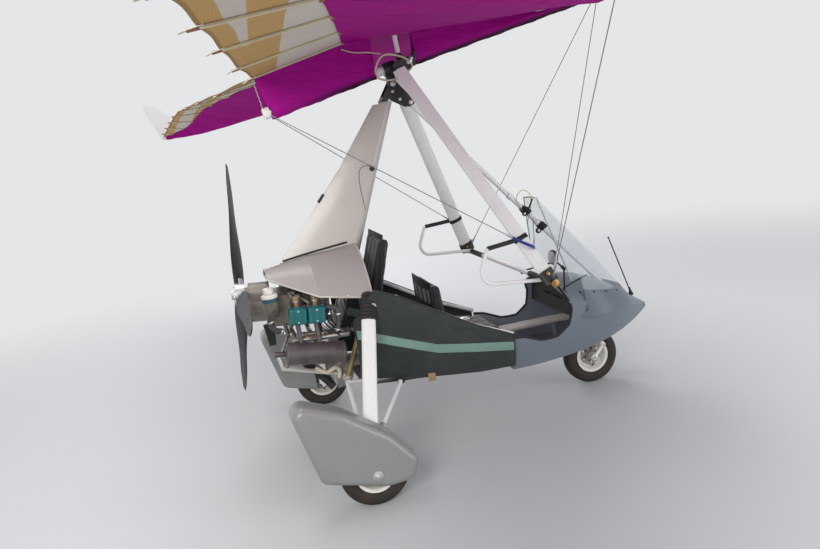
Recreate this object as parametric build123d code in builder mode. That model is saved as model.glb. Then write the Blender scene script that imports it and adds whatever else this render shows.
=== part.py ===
from build123d import *

import os
from math import atan, cos, radians, sin, sqrt

os.makedirs("parts", exist_ok=True)

# Two-seat flex-wing microlight. Millimetres, +X to the nose, +Y to port, +Z up.
# Places in the tables are measured from the main axle (x) and from the ground (z).

# Reach of the whole machine ahead of and behind the main axle: the origin is midway.
nose_reach = 2186
tail_reach = 985
main_axle_x = (tail_reach - nose_reach) / 2

# Wheels
tyre_d = 380
tyre_width = 100
tyre_corner = 38
rim_d = 208
rim_width = 84
wheelbase = 1735
nose_x = wheelbase + 287
half_track = 860
axle_r = 10
running_gap = 0.05
seat_gap = 0.3
wheel_z = tyre_d / 2

# Trike frame
tube_r = 27
small_tube_r = 12.5
mast_depth = 70
mast_width = 44
mast_slope = 2.4
mast_foot_x = -34
mast_foot_z = 560
strut_r = 15.5

# Hang point, where the wing turns on the trike
hang_x = 655
hang_z = 2175
hang_bolt_r = 8
keel_r = 28
keel_rise = 91
keel_slope = 0.19
sleeve_wall = 12
sleeve_length = 76

# Propeller
prop_r = 860
hub_x = -474
hub_z = 1105
hub_front = 24
thrust_lean = radians(7)

# Body widths
cockpit_half = 380
wall = 6


def at(x, y=0.0, z=0.0):
    """A place given by its distance ahead of the main axle."""
    return Vector(main_axle_x + x, y, z)


def rod(start, end, radius, mode=Mode.ADD):
    """A round bar between two places."""
    with Locations(Plane(origin=start, z_dir=end - start)):
        Cylinder(
            radius,
            (end - start).length,
            align=(Align.CENTER, Align.CENTER, Align.MIN),
            mode=mode,
        )


def blade_bar(start, end, chord, width, fore=Vector(1, 0, 0)):
    """A streamlined bar between two places, its chord towards the given side."""
    along = (end - start).normalized()
    across = fore - along * fore.dot(along)
    with BuildSketch(Plane(origin=start, z_dir=along, x_dir=across)) as section:
        Ellipse(chord / 2, width / 2)
    extrude(section.sketch, amount=(end - start).length)


def on_engine(ahead, y=0.0, rise=0.0):
    """A place ahead of the propeller's hub along its shaft, to port, and above the shaft."""
    return hub_centre + thrust_dir * ahead + Vector(0, y, 0) + rise_dir * rise


def engine_box(centre, length, width, height):
    """A block square to the engine's shaft."""
    with Locations(Plane(origin=centre, x_dir=thrust_dir, z_dir=rise_dir)):
        Box(length, width, height)


def keel_point(distance):
    """A place on the keel's axis, by its distance ahead of the hang point."""
    return at(hang_x, 0, hang_z + keel_rise) + keel_dir * distance


keel_dir = Vector(cos(atan(keel_slope)), 0, sin(atan(keel_slope)))
mast_dir = Vector(1, 0, mast_slope).normalized()
mast_foot = at(mast_foot_x, 0, mast_foot_z)
mast_top = mast_foot + mast_dir * ((hang_z - 80 - mast_foot_z) / mast_dir.Z)
hang_point = at(hang_x, 0, hang_z)
hub_centre = at(hub_x, 0, hub_z)
thrust_dir = Vector(cos(thrust_lean), 0, -sin(thrust_lean))
rise_dir = Vector(sin(thrust_lean), 0, cos(thrust_lean))

# Wheels: tyre and rim, each turned about its axle
wheels = [
    # name, x, y
    ("front", wheelbase, 0),
    ("left", 0, half_track),
    ("right", 0, -half_track),
]
for side, wheel_x, wheel_y in wheels:
    centre = at(wheel_x, wheel_y, wheel_z)
    axis = Axis(centre, (0, 1, 0))
    with BuildPart() as tyre:
        with BuildSketch(Plane.YZ.offset(centre.X)):
            with Locations((centre.Y, centre.Z + (tyre_d + rim_d) / 4)):
                RectangleRounded(tyre_width, (tyre_d - rim_d) / 2, tyre_corner)
        revolve(axis=axis)
    tyre.part.label = f"tyre_{side}"
    export_step(tyre.part, f"parts/tyre_{side}.step")

    with BuildPart() as rim:
        with BuildSketch(Plane.YZ.offset(centre.X)):
            with BuildLine():
                Polyline(
                    (centre.Y - rim_width / 2, centre.Z + rim_d / 2 + 10),
                    (centre.Y - rim_width / 2, centre.Z + rim_d / 2 - 8),
                    (centre.Y - 8, centre.Z + rim_d / 2 - 22),
                    (centre.Y - 8, centre.Z + 34),
                    (centre.Y - 38, centre.Z + 30),
                    (centre.Y - 38, centre.Z + axle_r + running_gap),
                    (centre.Y + 38, centre.Z + axle_r + running_gap),
                    (centre.Y + 38, centre.Z + 30),
                    (centre.Y + 8, centre.Z + 34),
                    (centre.Y + 8, centre.Z + rim_d / 2 - 22),
                    (centre.Y + rim_width / 2, centre.Z + rim_d / 2 - 8),
                    (centre.Y + rim_width / 2, centre.Z + rim_d / 2 + 10),
                    close=True,
                )
            make_face()
        revolve(axis=axis)
        add(tyre.part, mode=Mode.SUBTRACT)
        with Locations(Plane(origin=centre, z_dir=(0, 1, 0))):
            with PolarLocations(rim_d * 0.28, 6):
                Cylinder(12, tyre_width, mode=Mode.SUBTRACT)
    rim.part.label = f"rim_{side}"
    export_step(rim.part, f"parts/rim_{side}.step")

# Steering axis: raked, its foot ahead of the front wheel's axle
steer_x = wheelbase - 45
steer_z = 500
rake = radians(20)
steer_dir = Vector(-sin(rake), 0, cos(rake))


def steer_point(rise):
    """A place on the steering axis, by its height above the chassis tube."""
    return at(steer_x, 0, steer_z) + steer_dir * (rise / cos(rake))


# Chassis: keel tube under the seats, lower rails, and the frame behind the seats
head_top = 62
head_bottom = -72
head_r = 27
stem_r = 15
frame_half = 250
rail_half = 290
rail_z = 464
rail_rear_z = 505
post_head_x = 226
post_head_z = 945
bearer_half = 150
keel_tube_fore = (steer_x + 10, 492)
keel_tube_aft = (mast_foot_x - 20, 532)
with BuildPart() as chassis:
    rod(
        at(keel_tube_fore[0], 0, keel_tube_fore[1]),
        at(keel_tube_aft[0], 0, keel_tube_aft[1]),
        tube_r,
    )
    rod(at(steer_x, 0, 492), at(nose_x, 0, 476), tube_r - 4)
    rod(steer_point(head_bottom), steer_point(head_top), head_r)
    for y in (-rail_half, rail_half):
        rod(at(1150, y, 400), at(360, y, rail_z), small_tube_r)
        rod(at(366, y, rail_z), at(20, y, rail_rear_z), small_tube_r)
    for y in (-frame_half, frame_half):
        rod(at(30, y, rail_rear_z), at(post_head_x, y, post_head_z), 16)
    for y in (-bearer_half, bearer_half):
        rod(at(36, y, rail_rear_z + 10), at(-330, y, 640), 14)
    rod(at(30, -rail_half - 12, rail_rear_z), at(30, rail_half + 12, rail_rear_z), 18)
    rod(at(post_head_x + 8, -400, post_head_z + 6), at(post_head_x + 8, 400, post_head_z + 6), 17)
    rod(at(1140, -rail_half - 14, 401), at(1140, rail_half + 14, 401), small_tube_r + 1)
    rod(at(-322, -bearer_half - 16, 637), at(-322, bearer_half + 16, 637), 12)
    rod(at(1140, 0, 401), at(1150, 0, 520), small_tube_r)
    rod(steer_point(-200), steer_point(200), stem_r + running_gap, mode=Mode.SUBTRACT)
chassis.part.label = "chassis"


def tube_top(x):
    """Height of the chassis tube's top, by the distance ahead of the main axle."""
    return keel_tube_fore[1] + (keel_tube_aft[1] - keel_tube_fore[1]) * (
        (keel_tube_fore[0] - x) / (keel_tube_fore[0] - keel_tube_aft[0])
    ) + tube_r * 1.001


# Mast: one deep section from the chassis to the hang point, with the bolt's two cheeks
cheek_gap = 61
cheek_t = 8
with BuildPart() as mast:
    with BuildSketch(Plane(origin=mast_foot, z_dir=mast_dir, x_dir=(0, 1, 0))):
        RectangleRounded(mast_width, mast_depth, 15)
    extrude(amount=(mast_top - mast_foot).length)
    add(chassis.part, mode=Mode.SUBTRACT)
mast.part.label = "mast"

# Front strut: a round tube from the nose of the chassis up to the hang bracket
strut_foot = at(nose_x, 0, 500)
strut_head = at(hang_x + 92, 0, hang_z - 126)
strut_pin_r = 6
cheek_outer = cheek_gap / 2 + cheek_t
with BuildPart() as hang_bracket:
    for side in (-1, 1):
        with BuildSketch(Plane.XZ.offset(-side * (cheek_gap + cheek_t) / 2)):
            with BuildLine():
                Polyline(
                    (hang_point.X + 22, hang_point.Z + 8),
                    (hang_point.X + 8, hang_point.Z + 20),
                    (hang_point.X - 8, hang_point.Z + 20),
                    (hang_point.X - 22, hang_point.Z + 8),
                    (mast_top.X - 44, mast_top.Z - 18),
                    (mast_top.X + 40, mast_top.Z - 18),
                    (strut_head.X - 14, strut_head.Z - 24),
                    (strut_head.X + 22, strut_head.Z - 12),
                    (strut_head.X + 20, strut_head.Z + 16),
                    close=True,
                )
            make_face()
        extrude(amount=cheek_t / 2, both=True)
    for centre, reach, radius in (
        (hang_point, cheek_outer + 12, hang_bolt_r),
        (strut_head, cheek_outer + 6, strut_pin_r),
    ):
        rod(centre - Vector(0, reach, 0), centre + Vector(0, reach, 0), radius)
    with Locations(at(hang_x + 10, 0, hang_z - 92)):
        Box(120, cheek_gap, 8)
    add(mast.part, mode=Mode.SUBTRACT)
hang_bracket.part.label = "hang_bracket"

with BuildPart() as front_strut:
    rod(strut_foot, strut_head + (strut_head - strut_foot).normalized() * 18, strut_r)
    for share in (0.42, 0.55):
        place = strut_foot + (strut_head - strut_foot) * share
        rod(place, place + (strut_head - strut_foot).normalized() * 34, strut_r + 5)
    add(chassis.part, mode=Mode.SUBTRACT)
    add(hang_bracket.part, mode=Mode.SUBTRACT)
front_strut.part.label = "front_strut"

# Pod: a hollow nose shell with an open cockpit and a wheel well
pod_sections = [
    # x, belly z, belly half-width, shoulder z, shoulder half-width, crown z, side bulge
    (1070, 325, 290, 600, cockpit_half, 640, 12),
    (1450, 322, 270, 690, 355, 800, 16),
    (wheelbase + 15, 335, 200, 610, 275, 752, 18),
    (nose_reach - 196, 372, 110, 520, 150, 612, 12),
    (nose_reach, 432, 12, 452, 17, 466, 2),
]


def pod_loft(shrink, mode):
    """The pod's outside, or its inside when shrunk by the wall."""
    faces = []
    for x, belly_z, belly_half, side_z, side_half, crown_z, bulge in pod_sections:
        mid = (belly_z + side_z) / 2
        lean = (belly_half + side_half) / 2 + bulge
        with BuildSketch(Plane.YZ.offset(main_axle_x + x)) as section:
            with BuildLine():
                Line((-belly_half + shrink, belly_z + shrink), (belly_half - shrink, belly_z + shrink))
                ThreePointArc(
                    (belly_half - shrink, belly_z + shrink),
                    (lean - shrink, mid),
                    (side_half - shrink, side_z),
                )
                ThreePointArc(
                    (side_half - shrink, side_z),
                    (0, crown_z - shrink),
                    (-side_half + shrink, side_z),
                )
                ThreePointArc(
                    (-side_half + shrink, side_z),
                    (-lean + shrink, mid),
                    (-belly_half + shrink, belly_z + shrink),
                )
            make_face()
        faces.append(section.sketch)
    loft(faces, mode=mode)


with BuildPart() as pod_outer:
    pod_loft(0, Mode.ADD)

with BuildPart() as pod_inside:
    pod_loft(wall + 1, Mode.ADD)

with BuildPart() as pod:
    pod_loft(0, Mode.ADD)
    pod_loft(wall, Mode.SUBTRACT)
    with BuildSketch(Plane.XZ):
        with BuildLine():
            Polyline(
                (main_axle_x + 1000, 900),
                (main_axle_x + 1000, 570),
                (main_axle_x + 1140, 545),
                (main_axle_x + 1260, 492),
                (main_axle_x + 1370, 488),
                (main_axle_x + 1455, 545),
                (main_axle_x + 1480, 640),
                (main_axle_x + 1470, 700),
                (main_axle_x + 1445, 765),
                (main_axle_x + 1540, 900),
                close=True,
            )
        make_face()
    extrude(amount=600, both=True, mode=Mode.SUBTRACT)
    # wheel well, and the slot that the strut comes through
    with Locations(at(wheelbase - 5, 0, 345)):
        Box(340, 250, 60, mode=Mode.SUBTRACT)
    with Locations(at(1888, 0, 690)):
        Box(264, 2 * strut_r + 20, 260, mode=Mode.SUBTRACT)
    # floor bosses that seat on the chassis tube
    for x in (wheelbase - 515, wheelbase - 235):
        rod(at(x, 0, 325), at(x, 0, tube_top(x) - tube_r), 14)
    add(chassis.part, mode=Mode.SUBTRACT)
pod.part.label = "pod"

# Windscreen: a thin bent sheet from the deck up past the strut
screen_sections = [
    # z, front x, rear x, half-width
    (560, 2045, 1560, 330),
    (880, 1830, 1522, 262),
    (1325, 1482, 1450, 105),
]
screen_t = 4
with BuildPart() as windscreen:
    for z, front_x, rear_x, half in screen_sections:
        with BuildSketch(Plane.XY.offset(z)):
            with BuildLine():
                ThreePointArc(
                    (main_axle_x + rear_x, -half),
                    (main_axle_x + front_x, 0),
                    (main_axle_x + rear_x, half),
                )
                Line((main_axle_x + rear_x, half), (main_axle_x + rear_x, half - screen_t))
                ThreePointArc(
                    (main_axle_x + rear_x, half - screen_t),
                    (main_axle_x + front_x - screen_t, 0),
                    (main_axle_x + rear_x, -half + screen_t),
                )
                Line((main_axle_x + rear_x, -half + screen_t), (main_axle_x + rear_x, -half))
            make_face()
    loft(ruled=True)
    add(pod_outer.part, mode=Mode.SUBTRACT)
    with Locations(at(1450, 0, 700)):
        Box(300, 900, 200, mode=Mode.SUBTRACT)
windscreen.part.label = "windscreen"

# Belly panel under the seats
with BuildPart() as belly_panel:
    with BuildSketch(Plane.XZ):
        with BuildLine():
            Polyline(
                (main_axle_x + 110, 471),
                (main_axle_x + 360, 440),
                (main_axle_x + 1062, 366),
                (main_axle_x + 1062, 374),
                (main_axle_x + 360, 448),
                (main_axle_x + 110, 479),
                close=True,
            )
        make_face()
    extrude(amount=316, both=True)
belly_panel.part.label = "belly_panel"

# Side rails, from the rear frame down to the pod's shoulders
with BuildPart() as side_rails:
    for y in (-cockpit_half + 20, cockpit_half - 20):
        rod(at(212, y, 968), at(374, y, 971), small_tube_r)
        rod(at(374, y, 971), at(829, y, 689), small_tube_r)
        rod(at(829, y, 689), at(1068, y, 580), small_tube_r)
    add(chassis.part, mode=Mode.SUBTRACT)
side_rails.part.label = "side_rails"

# Seats: plain pads on the chassis
seat_half = 215
with BuildPart() as seat_front:
    with BuildSketch(Plane.XZ):
        with BuildLine():
            Polyline(
                (main_axle_x + 640, tube_top(640) + seat_gap),
                (main_axle_x + 1080, tube_top(1080) + seat_gap),
                (main_axle_x + 1085, 585),
                (main_axle_x + 735, 605),
                (main_axle_x + 690, 960),
                (main_axle_x + 640, 960),
                close=True,
            )
        make_face()
    extrude(amount=seat_half, both=True)
    fillet(seat_front.edges().filter_by(Axis.Y), 16)
seat_front.part.label = "seat_front"

with BuildPart() as seat_rear:
    with BuildSketch(Plane.XZ):
        with BuildLine():
            Polyline(
                (main_axle_x + 140, tube_top(140) + seat_gap),
                (main_axle_x + 620, tube_top(620) + seat_gap),
                (main_axle_x + 622, 610),
                (main_axle_x + 245, 650),
                (main_axle_x + 445, 1300),
                (main_axle_x + 400, 1316),
                (main_axle_x + post_head_x + 8 + 17 + seat_gap, 990),
                (main_axle_x + post_head_x + 8 + 17 + seat_gap, 915),
                close=True,
            )
        make_face()
    extrude(amount=seat_half - 15, both=True)
    fillet(seat_rear.edges().filter_by(Axis.Y), 14)
seat_rear.part.label = "seat_rear"

# Instrument panel under the screen
with BuildPart() as instrument_panel:
    with BuildSketch(Plane(origin=at(1540, 0, 700), z_dir=(-1, 0, 0.2))):
        Rectangle(260, 700)
    extrude(amount=12)
    add(pod_inside.part, mode=Mode.INTERSECT)
instrument_panel.part.label = "instrument_panel"

# Rear cowl: an arched shell over the engine, tapering to a tail
cowl_sections = [
    # x, base z, half-width, crown z
    (250, 992, 352, 1285),
    (-50, 1056, 330, 1262),
    (-310, 1176, 120, 1222),
]
with BuildPart() as cowl_outer:
    for x, base_z, half, crown_z in cowl_sections:
        with BuildSketch(Plane.YZ.offset(main_axle_x + x)):
            with BuildLine():
                ThreePointArc((-half, base_z), (0, crown_z), (half, base_z))
                Line((half, base_z), (-half, base_z))
            make_face()
    loft(ruled=True)

with BuildPart() as engine_cowl:
    add(cowl_outer.part)
    for x, base_z, half, crown_z in cowl_sections:
        with BuildSketch(Plane.YZ.offset(main_axle_x + x)):
            with BuildLine():
                ThreePointArc((-half + wall, base_z), (0, crown_z - wall), (half - wall, base_z))
                Line((half - wall, base_z), (-half + wall, base_z))
            make_face()
    loft(ruled=True, mode=Mode.SUBTRACT)
    with BuildSketch(Plane(origin=mast_foot, z_dir=mast_dir, x_dir=(0, 1, 0))):
        Rectangle(mast_width + 2 * seat_gap, mast_depth + 2 * seat_gap)
    extrude(amount=1000, mode=Mode.SUBTRACT)
engine_cowl.part.label = "engine_cowl"

# Mast fairing: a streamlined blade all round the mast
fairing_lead = 6
fairing_sections = [
    # z, aft x, half-width
    (1200, -242, 65),
    (1726, 245, 50),
    (2070, 520, 36),
]
mast_front = mast_foot_x + mast_depth / 2 * sqrt(1 + 1 / mast_slope**2)
with BuildPart() as mast_fairing:
    for z, aft_x, half in fairing_sections:
        front = main_axle_x + mast_front + (z - mast_foot_z) / mast_slope + fairing_lead
        aft = main_axle_x + aft_x
        nose = front - 0.9 * half
        with BuildSketch(Plane.XY.offset(z)):
            with BuildLine():
                ThreePointArc((nose, -half), (front, 0), (nose, half))
                ThreePointArc((nose, half), (nose - (nose - aft) * 0.5, half * 0.72), (aft, 4))
                Line((aft, 4), (aft, -4))
                ThreePointArc((aft, -4), (nose - (nose - aft) * 0.5, -half * 0.72), (nose, -half))
            make_face()
    loft(ruled=True)
    with BuildSketch(Plane(origin=mast_foot, z_dir=mast_dir, x_dir=(0, 1, 0))):
        Rectangle(mast_width + 2 * seat_gap, mast_depth + 2 * seat_gap)
    extrude(amount=2000, mode=Mode.SUBTRACT)
    add(cowl_outer.part, mode=Mode.SUBTRACT)
mast_fairing.part.label = "mast_fairing"

# Engine: a flat four on a shaft line that leans down to the nose, open to view
crank_drop = 97
cylinder_places = (295, 402)
barrel_r = 38
fin_r = 50
fin_t = 4
fin_pitch = 13
fin_count = 9
first_fin = 124
head_face = 300
head_depth = 56
head_size = 98
mount_y = 200
mount_aft = (-190, 829)
mount_fore = (152, 789)
with BuildPart() as crankcase:
    engine_box(on_engine(330, 0, -crank_drop), 340, 230, 200)
    chamfer(crankcase.edges(), 14)

with BuildPart() as engine:
    add(crankcase.part)
    # gearbox: round housings for the crank and for the raised shaft, and the stator's cover
    rod(on_engine(50, 0, -crank_drop), on_engine(170, 0, -crank_drop), 80)
    rod(on_engine(50), on_engine(170), 62)
    engine_box(on_engine(110, 0, -crank_drop / 2), 118, 122, crank_drop)
    rod(on_engine(hub_front + seat_gap), on_engine(60), 36)
    rod(on_engine(490, 0, -crank_drop), on_engine(522, 0, -crank_drop), 72)
    for side in (-1, 1):
        for ahead in cylinder_places:
            barrel_end = on_engine(ahead, side * (head_face - 8), -crank_drop)
            rod(on_engine(ahead, side * 100, -crank_drop), barrel_end, barrel_r)
            for number in range(fin_count):
                fin_y = side * (first_fin + number * fin_pitch)
                fin_end = on_engine(ahead, fin_y + side * fin_t, -crank_drop)
                rod(on_engine(ahead, fin_y, -crank_drop), fin_end, fin_r)
            head_y = side * (head_face - head_depth / 2)
            engine_box(on_engine(ahead, head_y, -crank_drop), head_size, head_depth, head_size)
            for rise in (-34, -12, 12, 34):
                engine_box(on_engine(ahead, head_y, rise - crank_drop), head_size + 7, head_depth - 8, 5)
            # inlet pipe
            rod(on_engine(ahead, side * 262, -60), on_engine(270, side * 150, 24), 14)
        # mount: rail, lugs, and the strut down to the bearer
        aft = at(mount_aft[0], side * mount_y, mount_aft[1])
        fore = at(mount_fore[0], side * mount_y, mount_fore[1])
        rod(aft, fore, 15)
        rod(fore - Vector(6, 0, 0), at(mount_fore[0] + 4, side * frame_half, mount_fore[1]), 11)
        rod(aft + Vector(12, 0, 0), at(-305, side * bearer_half, 633), 11)
        for ahead in (240, 440):
            lug = on_engine(ahead, side * 100, -crank_drop - 84)
            rail_share = (lug.X - aft.X) / (fore.X - aft.X)
            rod(lug, aft + (fore - aft) * rail_share, 12)
    add(chassis.part, mode=Mode.SUBTRACT)
    add(mast.part, mode=Mode.SUBTRACT)
engine.part.label = "engine"

cover_depth = 60
cover_size = (100, 94)
with BuildPart() as rocker_covers:
    for side in (-1, 1):
        for ahead in cylinder_places:
            engine_box(
                on_engine(ahead, side * (head_face + cover_depth / 2), -crank_drop),
                cover_size[0],
                cover_depth,
                cover_size[1],
            )
    fillet(rocker_covers.edges(), 13)
    for side in (-1, 1):
        for ahead in cylinder_places:
            # the flange on the head, and two ribs across the cover
            flange = on_engine(ahead, side * (head_face + 4), -crank_drop)
            engine_box(flange, cover_size[0], 8, cover_size[1])
            for along in (-20, 20):
                place = on_engine(ahead + along, side * (head_face + cover_depth - 4), -crank_drop)
                engine_box(place, 7, 16, cover_size[1] - 30)
rocker_covers.part.label = "rocker_covers"

# Carburettors under the cowl, with the air box between them
with BuildPart() as carburettors:
    for side in (-1, 1):
        rod(on_engine(262, side * 150, 18), on_engine(262, side * 150, 68), 29)
        rod(on_engine(262, side * 150, 44), on_engine(340, side * 90, 56), 20)
    engine_box(on_engine(385, 0, 60), 130, 220, 56)
    add(engine.part, mode=Mode.SUBTRACT)
carburettors.part.label = "carburettors"

# Oil tank and ignition box beside the gearbox
tank_place = (-320, -200)
box_place = (-358, -250)
with BuildPart() as oil_tank:
    rod(at(*tank_place, 985), at(*tank_place, 1108), 48)
    fillet(oil_tank.edges().filter_by(GeomType.CIRCLE), 12)
    rod(at(*tank_place, 1100), at(*tank_place, 1118), 22)
    rod(at(*tank_place, 1116), at(*tank_place, 1142), 31)
    rod(at(tank_place[0] + 6, tank_place[1] + 30, 1040), at(-350, -40, 1040), 9)
    rod(at(*tank_place, 1000), at(*box_place, 930), 10)
    with BuildSketch(Plane.XY.offset(820)):
        with Locations((main_axle_x + box_place[0], box_place[1])):
            Rectangle(38, 26)
    with BuildSketch(Plane.XY.offset(945)):
        with Locations((main_axle_x + box_place[0], box_place[1])):
            Rectangle(64, 44)
    loft()
    add(engine.part, mode=Mode.SUBTRACT)
oil_tank.part.label = "oil_tank"

# Silencer across the underside, and a pipe to it from each head
silencer_aft = at(-300, -300, 762)
silencer_fore = at(45, -300, 696)
silencer_r = 64
pipe_r = 14
with BuildPart() as silencer:
    rod(silencer_aft, silencer_fore, silencer_r)
    fillet(silencer.edges().filter_by(GeomType.CIRCLE), 24)
    for share in (0.3, 0.62):
        place = silencer_aft + (silencer_fore - silencer_aft) * share
        rod(place, place + (silencer_fore - silencer_aft).normalized() * 9, silencer_r + 4)
    for ahead in cylinder_places:
        for side in (-1, 1):
            port = on_engine(ahead, side * (head_face - head_depth / 2), -crank_drop - head_size / 2)
            level = silencer_aft.Z + (silencer_fore.Z - silencer_aft.Z) * (
                (port.X - silencer_aft.X) / (silencer_fore.X - silencer_aft.X)
            )
            with BuildLine() as route:
                if side == -1:
                    Polyline(port + Vector(0, 0, 4), Vector(port.X, -290, level + 30))
                else:
                    FilletPolyline(
                        port + Vector(0, 0, 4),
                        Vector(port.X, port.Y, level + 24),
                        Vector(port.X, -270, level + 6),
                        radius=40,
                    )
            with BuildSketch(Plane(origin=route.line @ 0, z_dir=route.line % 0)):
                Circle(pipe_r)
            sweep(path=route.line)
            rod(port, port - Vector(0, 0, 10), pipe_r + 10)
    add(engine.part, mode=Mode.SUBTRACT)
silencer.part.label = "silencer"

# Radiator: a framed core of thin plates, slung between the bearers
radiator_place = Plane(origin=at(-113, 0, 535), z_dir=(0.8, 0, 0.6))
radiator_width = 250
radiator_height = 240
plate_count = 17
with BuildPart() as radiator:
    with Locations(radiator_place):
        Box(radiator_height - 24, radiator_width, 20)
        with Locations(Pos(radiator_height / 2 - 12, 0, 0), Pos(12 - radiator_height / 2, 0, 0)):
            Box(24, radiator_width, 46)
        with GridLocations(11.5, radiator_width, plate_count, 1):
            Box(3, radiator_width - 6, 40)
    for side in (-1, 1):
        rod(at(-148, side * (radiator_width / 2 - 5), 580), at(-148, side * bearer_half, 580), 8)
    add(chassis.part, mode=Mode.SUBTRACT)
radiator.part.label = "radiator"

# Main legs, rods, stub axles and spats, one set on each side
leg_top = (200, 400, 925)
leg_foot = (36, half_track - 85, 405)
gear_rods = [
    # inner end, outer end, radius
    ((358, rail_half + 8, rail_z + 4), (96, half_track - 92, 372), 14),
    ((20, rail_half + 6, rail_rear_z), (-18, half_track - 92, 400), 12),
]
gear_legs = {}
spat_half = 92
spat_mid = half_track
spat_round = 40
spat_corners = [60, 200, 200, 60, 60, 200, 60]
spat_outline = [
    # x, z round the side view, from the tail over the top
    (-405, 690),
    (-119, 562),
    (108, 388),
    (245, 215),
    (195, 112),
    (58, 104),
    (-288, 210),
]
for side, name in ((1, "left"), (-1, "right")):
    foot = at(leg_foot[0], side * leg_foot[1], leg_foot[2])
    axle_inner = at(0, side * (leg_foot[1] - 6), wheel_z)
    with BuildPart() as gear_leg:
        blade_bar(foot, at(leg_top[0], side * leg_top[1], leg_top[2]), 82, 40)
        with BuildSketch(Plane.XZ.offset(-side * leg_foot[1])):
            with BuildLine():
                Polyline(
                    (main_axle_x - 10, leg_foot[2] + 10),
                    (main_axle_x - 34, wheel_z),
                    (main_axle_x, wheel_z - 34),
                    (main_axle_x + 34, wheel_z),
                    (main_axle_x + 80, leg_foot[2] + 10),
                    close=True,
                )
            make_face()
        extrude(amount=7, both=True)
        rod(axle_inner, at(0, side * (half_track + spat_half), wheel_z), axle_r)
    gear_leg.part.label = f"gear_leg_{name}"
    export_step(gear_leg.part, f"parts/gear_leg_{name}.step")
    gear_legs[side] = gear_leg

    with BuildSketch(Plane.XZ.offset(-side * spat_mid)) as spat_side:
        with BuildLine():
            FilletPolyline(
                *[(main_axle_x + x, z) for x, z in spat_outline],
                radius=spat_corners,
                close=True,
            )
        make_face()
    with BuildPart() as spat_inside:
        with BuildSketch(Plane.XZ.offset(-side * spat_mid)):
            add(spat_side.sketch)
            offset(amount=-wall, mode=Mode.REPLACE)
        extrude(amount=spat_half - wall, both=True)
        fillet(spat_inside.faces().filter_by(Axis.Y).edges(), spat_round - wall)
    with BuildPart() as spat:
        extrude(spat_side.sketch, amount=spat_half, both=True)
        fillet(spat.faces().filter_by(Axis.Y).edges(), spat_round)
        add(spat_inside.part, mode=Mode.SUBTRACT)
        # open below for the tyre, and inboard for the leg's foot
        with Locations(at(-10, side * spat_mid, 128)):
            Box(414, tyre_width + 30, 136, mode=Mode.SUBTRACT)
        with Locations(at(20, side * (half_track - spat_half), 270)):
            Box(150, 60, 420, mode=Mode.SUBTRACT)
        rod(
            at(0, side * (half_track + spat_half - 30), wheel_z),
            at(0, side * (half_track + spat_half + 30), wheel_z),
            axle_r,
            mode=Mode.SUBTRACT,
        )
    spat.part.label = f"spat_{name}"
    export_step(spat.part, f"parts/spat_{name}.step")

with BuildPart() as drag_rods:
    for side in (-1, 1):
        for inner, outer, radius in gear_rods:
            rod(
                at(inner[0], side * inner[1], inner[2]),
                at(outer[0], side * outer[1], outer[2]),
                radius,
            )
        add(gear_legs[side].part, mode=Mode.SUBTRACT)
    add(chassis.part, mode=Mode.SUBTRACT)
drag_rods.part.label = "drag_rods"

# Side panels: stiffened cloth from the pod back to the rear frame
panel_t = 8
panel_sections = [
    # x, lower z, lower y, upper z, upper y, bulge
    (110, 520, 318, 880, 372, 18),
    (254, 492, 326, 1040, 378, 22),
    (400, 452, 330, 968, cockpit_half + 12, 26),
    (829, 388, 330, 700, cockpit_half + 12, 22),
    (1062, 372, 330, 585, cockpit_half + 8, 10),
]
for side, name in ((1, "left"), (-1, "right")):
    with BuildPart() as side_panel:
        for x, low_z, low_y, high_z, high_y, bulge in panel_sections:
            mid_z = (low_z + high_z) / 2
            mid_y = (low_y + high_y) / 2 + bulge
            with BuildSketch(Plane.YZ.offset(main_axle_x + x)):
                with BuildLine():
                    ThreePointArc((side * low_y, low_z), (side * mid_y, mid_z), (side * high_y, high_z))
                    Line((side * high_y, high_z), (side * (high_y + panel_t), high_z))
                    ThreePointArc(
                        (side * (high_y + panel_t), high_z),
                        (side * (mid_y + panel_t), mid_z),
                        (side * (low_y + panel_t), low_z),
                    )
                    Line((side * (low_y + panel_t), low_z), (side * low_y, low_z))
                make_face()
        loft(ruled=True)
        # passages for the gear's leg and rods and for the frame's cross tube
        rod(
            at(post_head_x + 8, 0, post_head_z + 6),
            at(post_head_x + 8, side * 450, post_head_z + 6),
            20,
            mode=Mode.SUBTRACT,
        )
        add(gear_legs[side].part, mode=Mode.SUBTRACT)
        for inner, outer, radius in gear_rods:
            rod(
                at(inner[0], side * inner[1], inner[2]),
                at(outer[0], side * outer[1], outer[2]),
                radius + 6,
                mode=Mode.SUBTRACT,
            )
    side_panel.part.label = f"side_panel_{name}"
    export_step(side_panel.part, f"parts/side_panel_{name}.step")

# Whip aerial on the pod's nose
with BuildPart() as aerial:
    rod(at(nose_reach - 90, 0, 535), at(nose_reach - 94, 0, 560), 12)
    rod(at(nose_reach - 94, 0, 560), at(nose_reach - 214, 0, 964), 4)
    add(pod_outer.part, mode=Mode.SUBTRACT)
aerial.part.label = "aerial"

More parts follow.
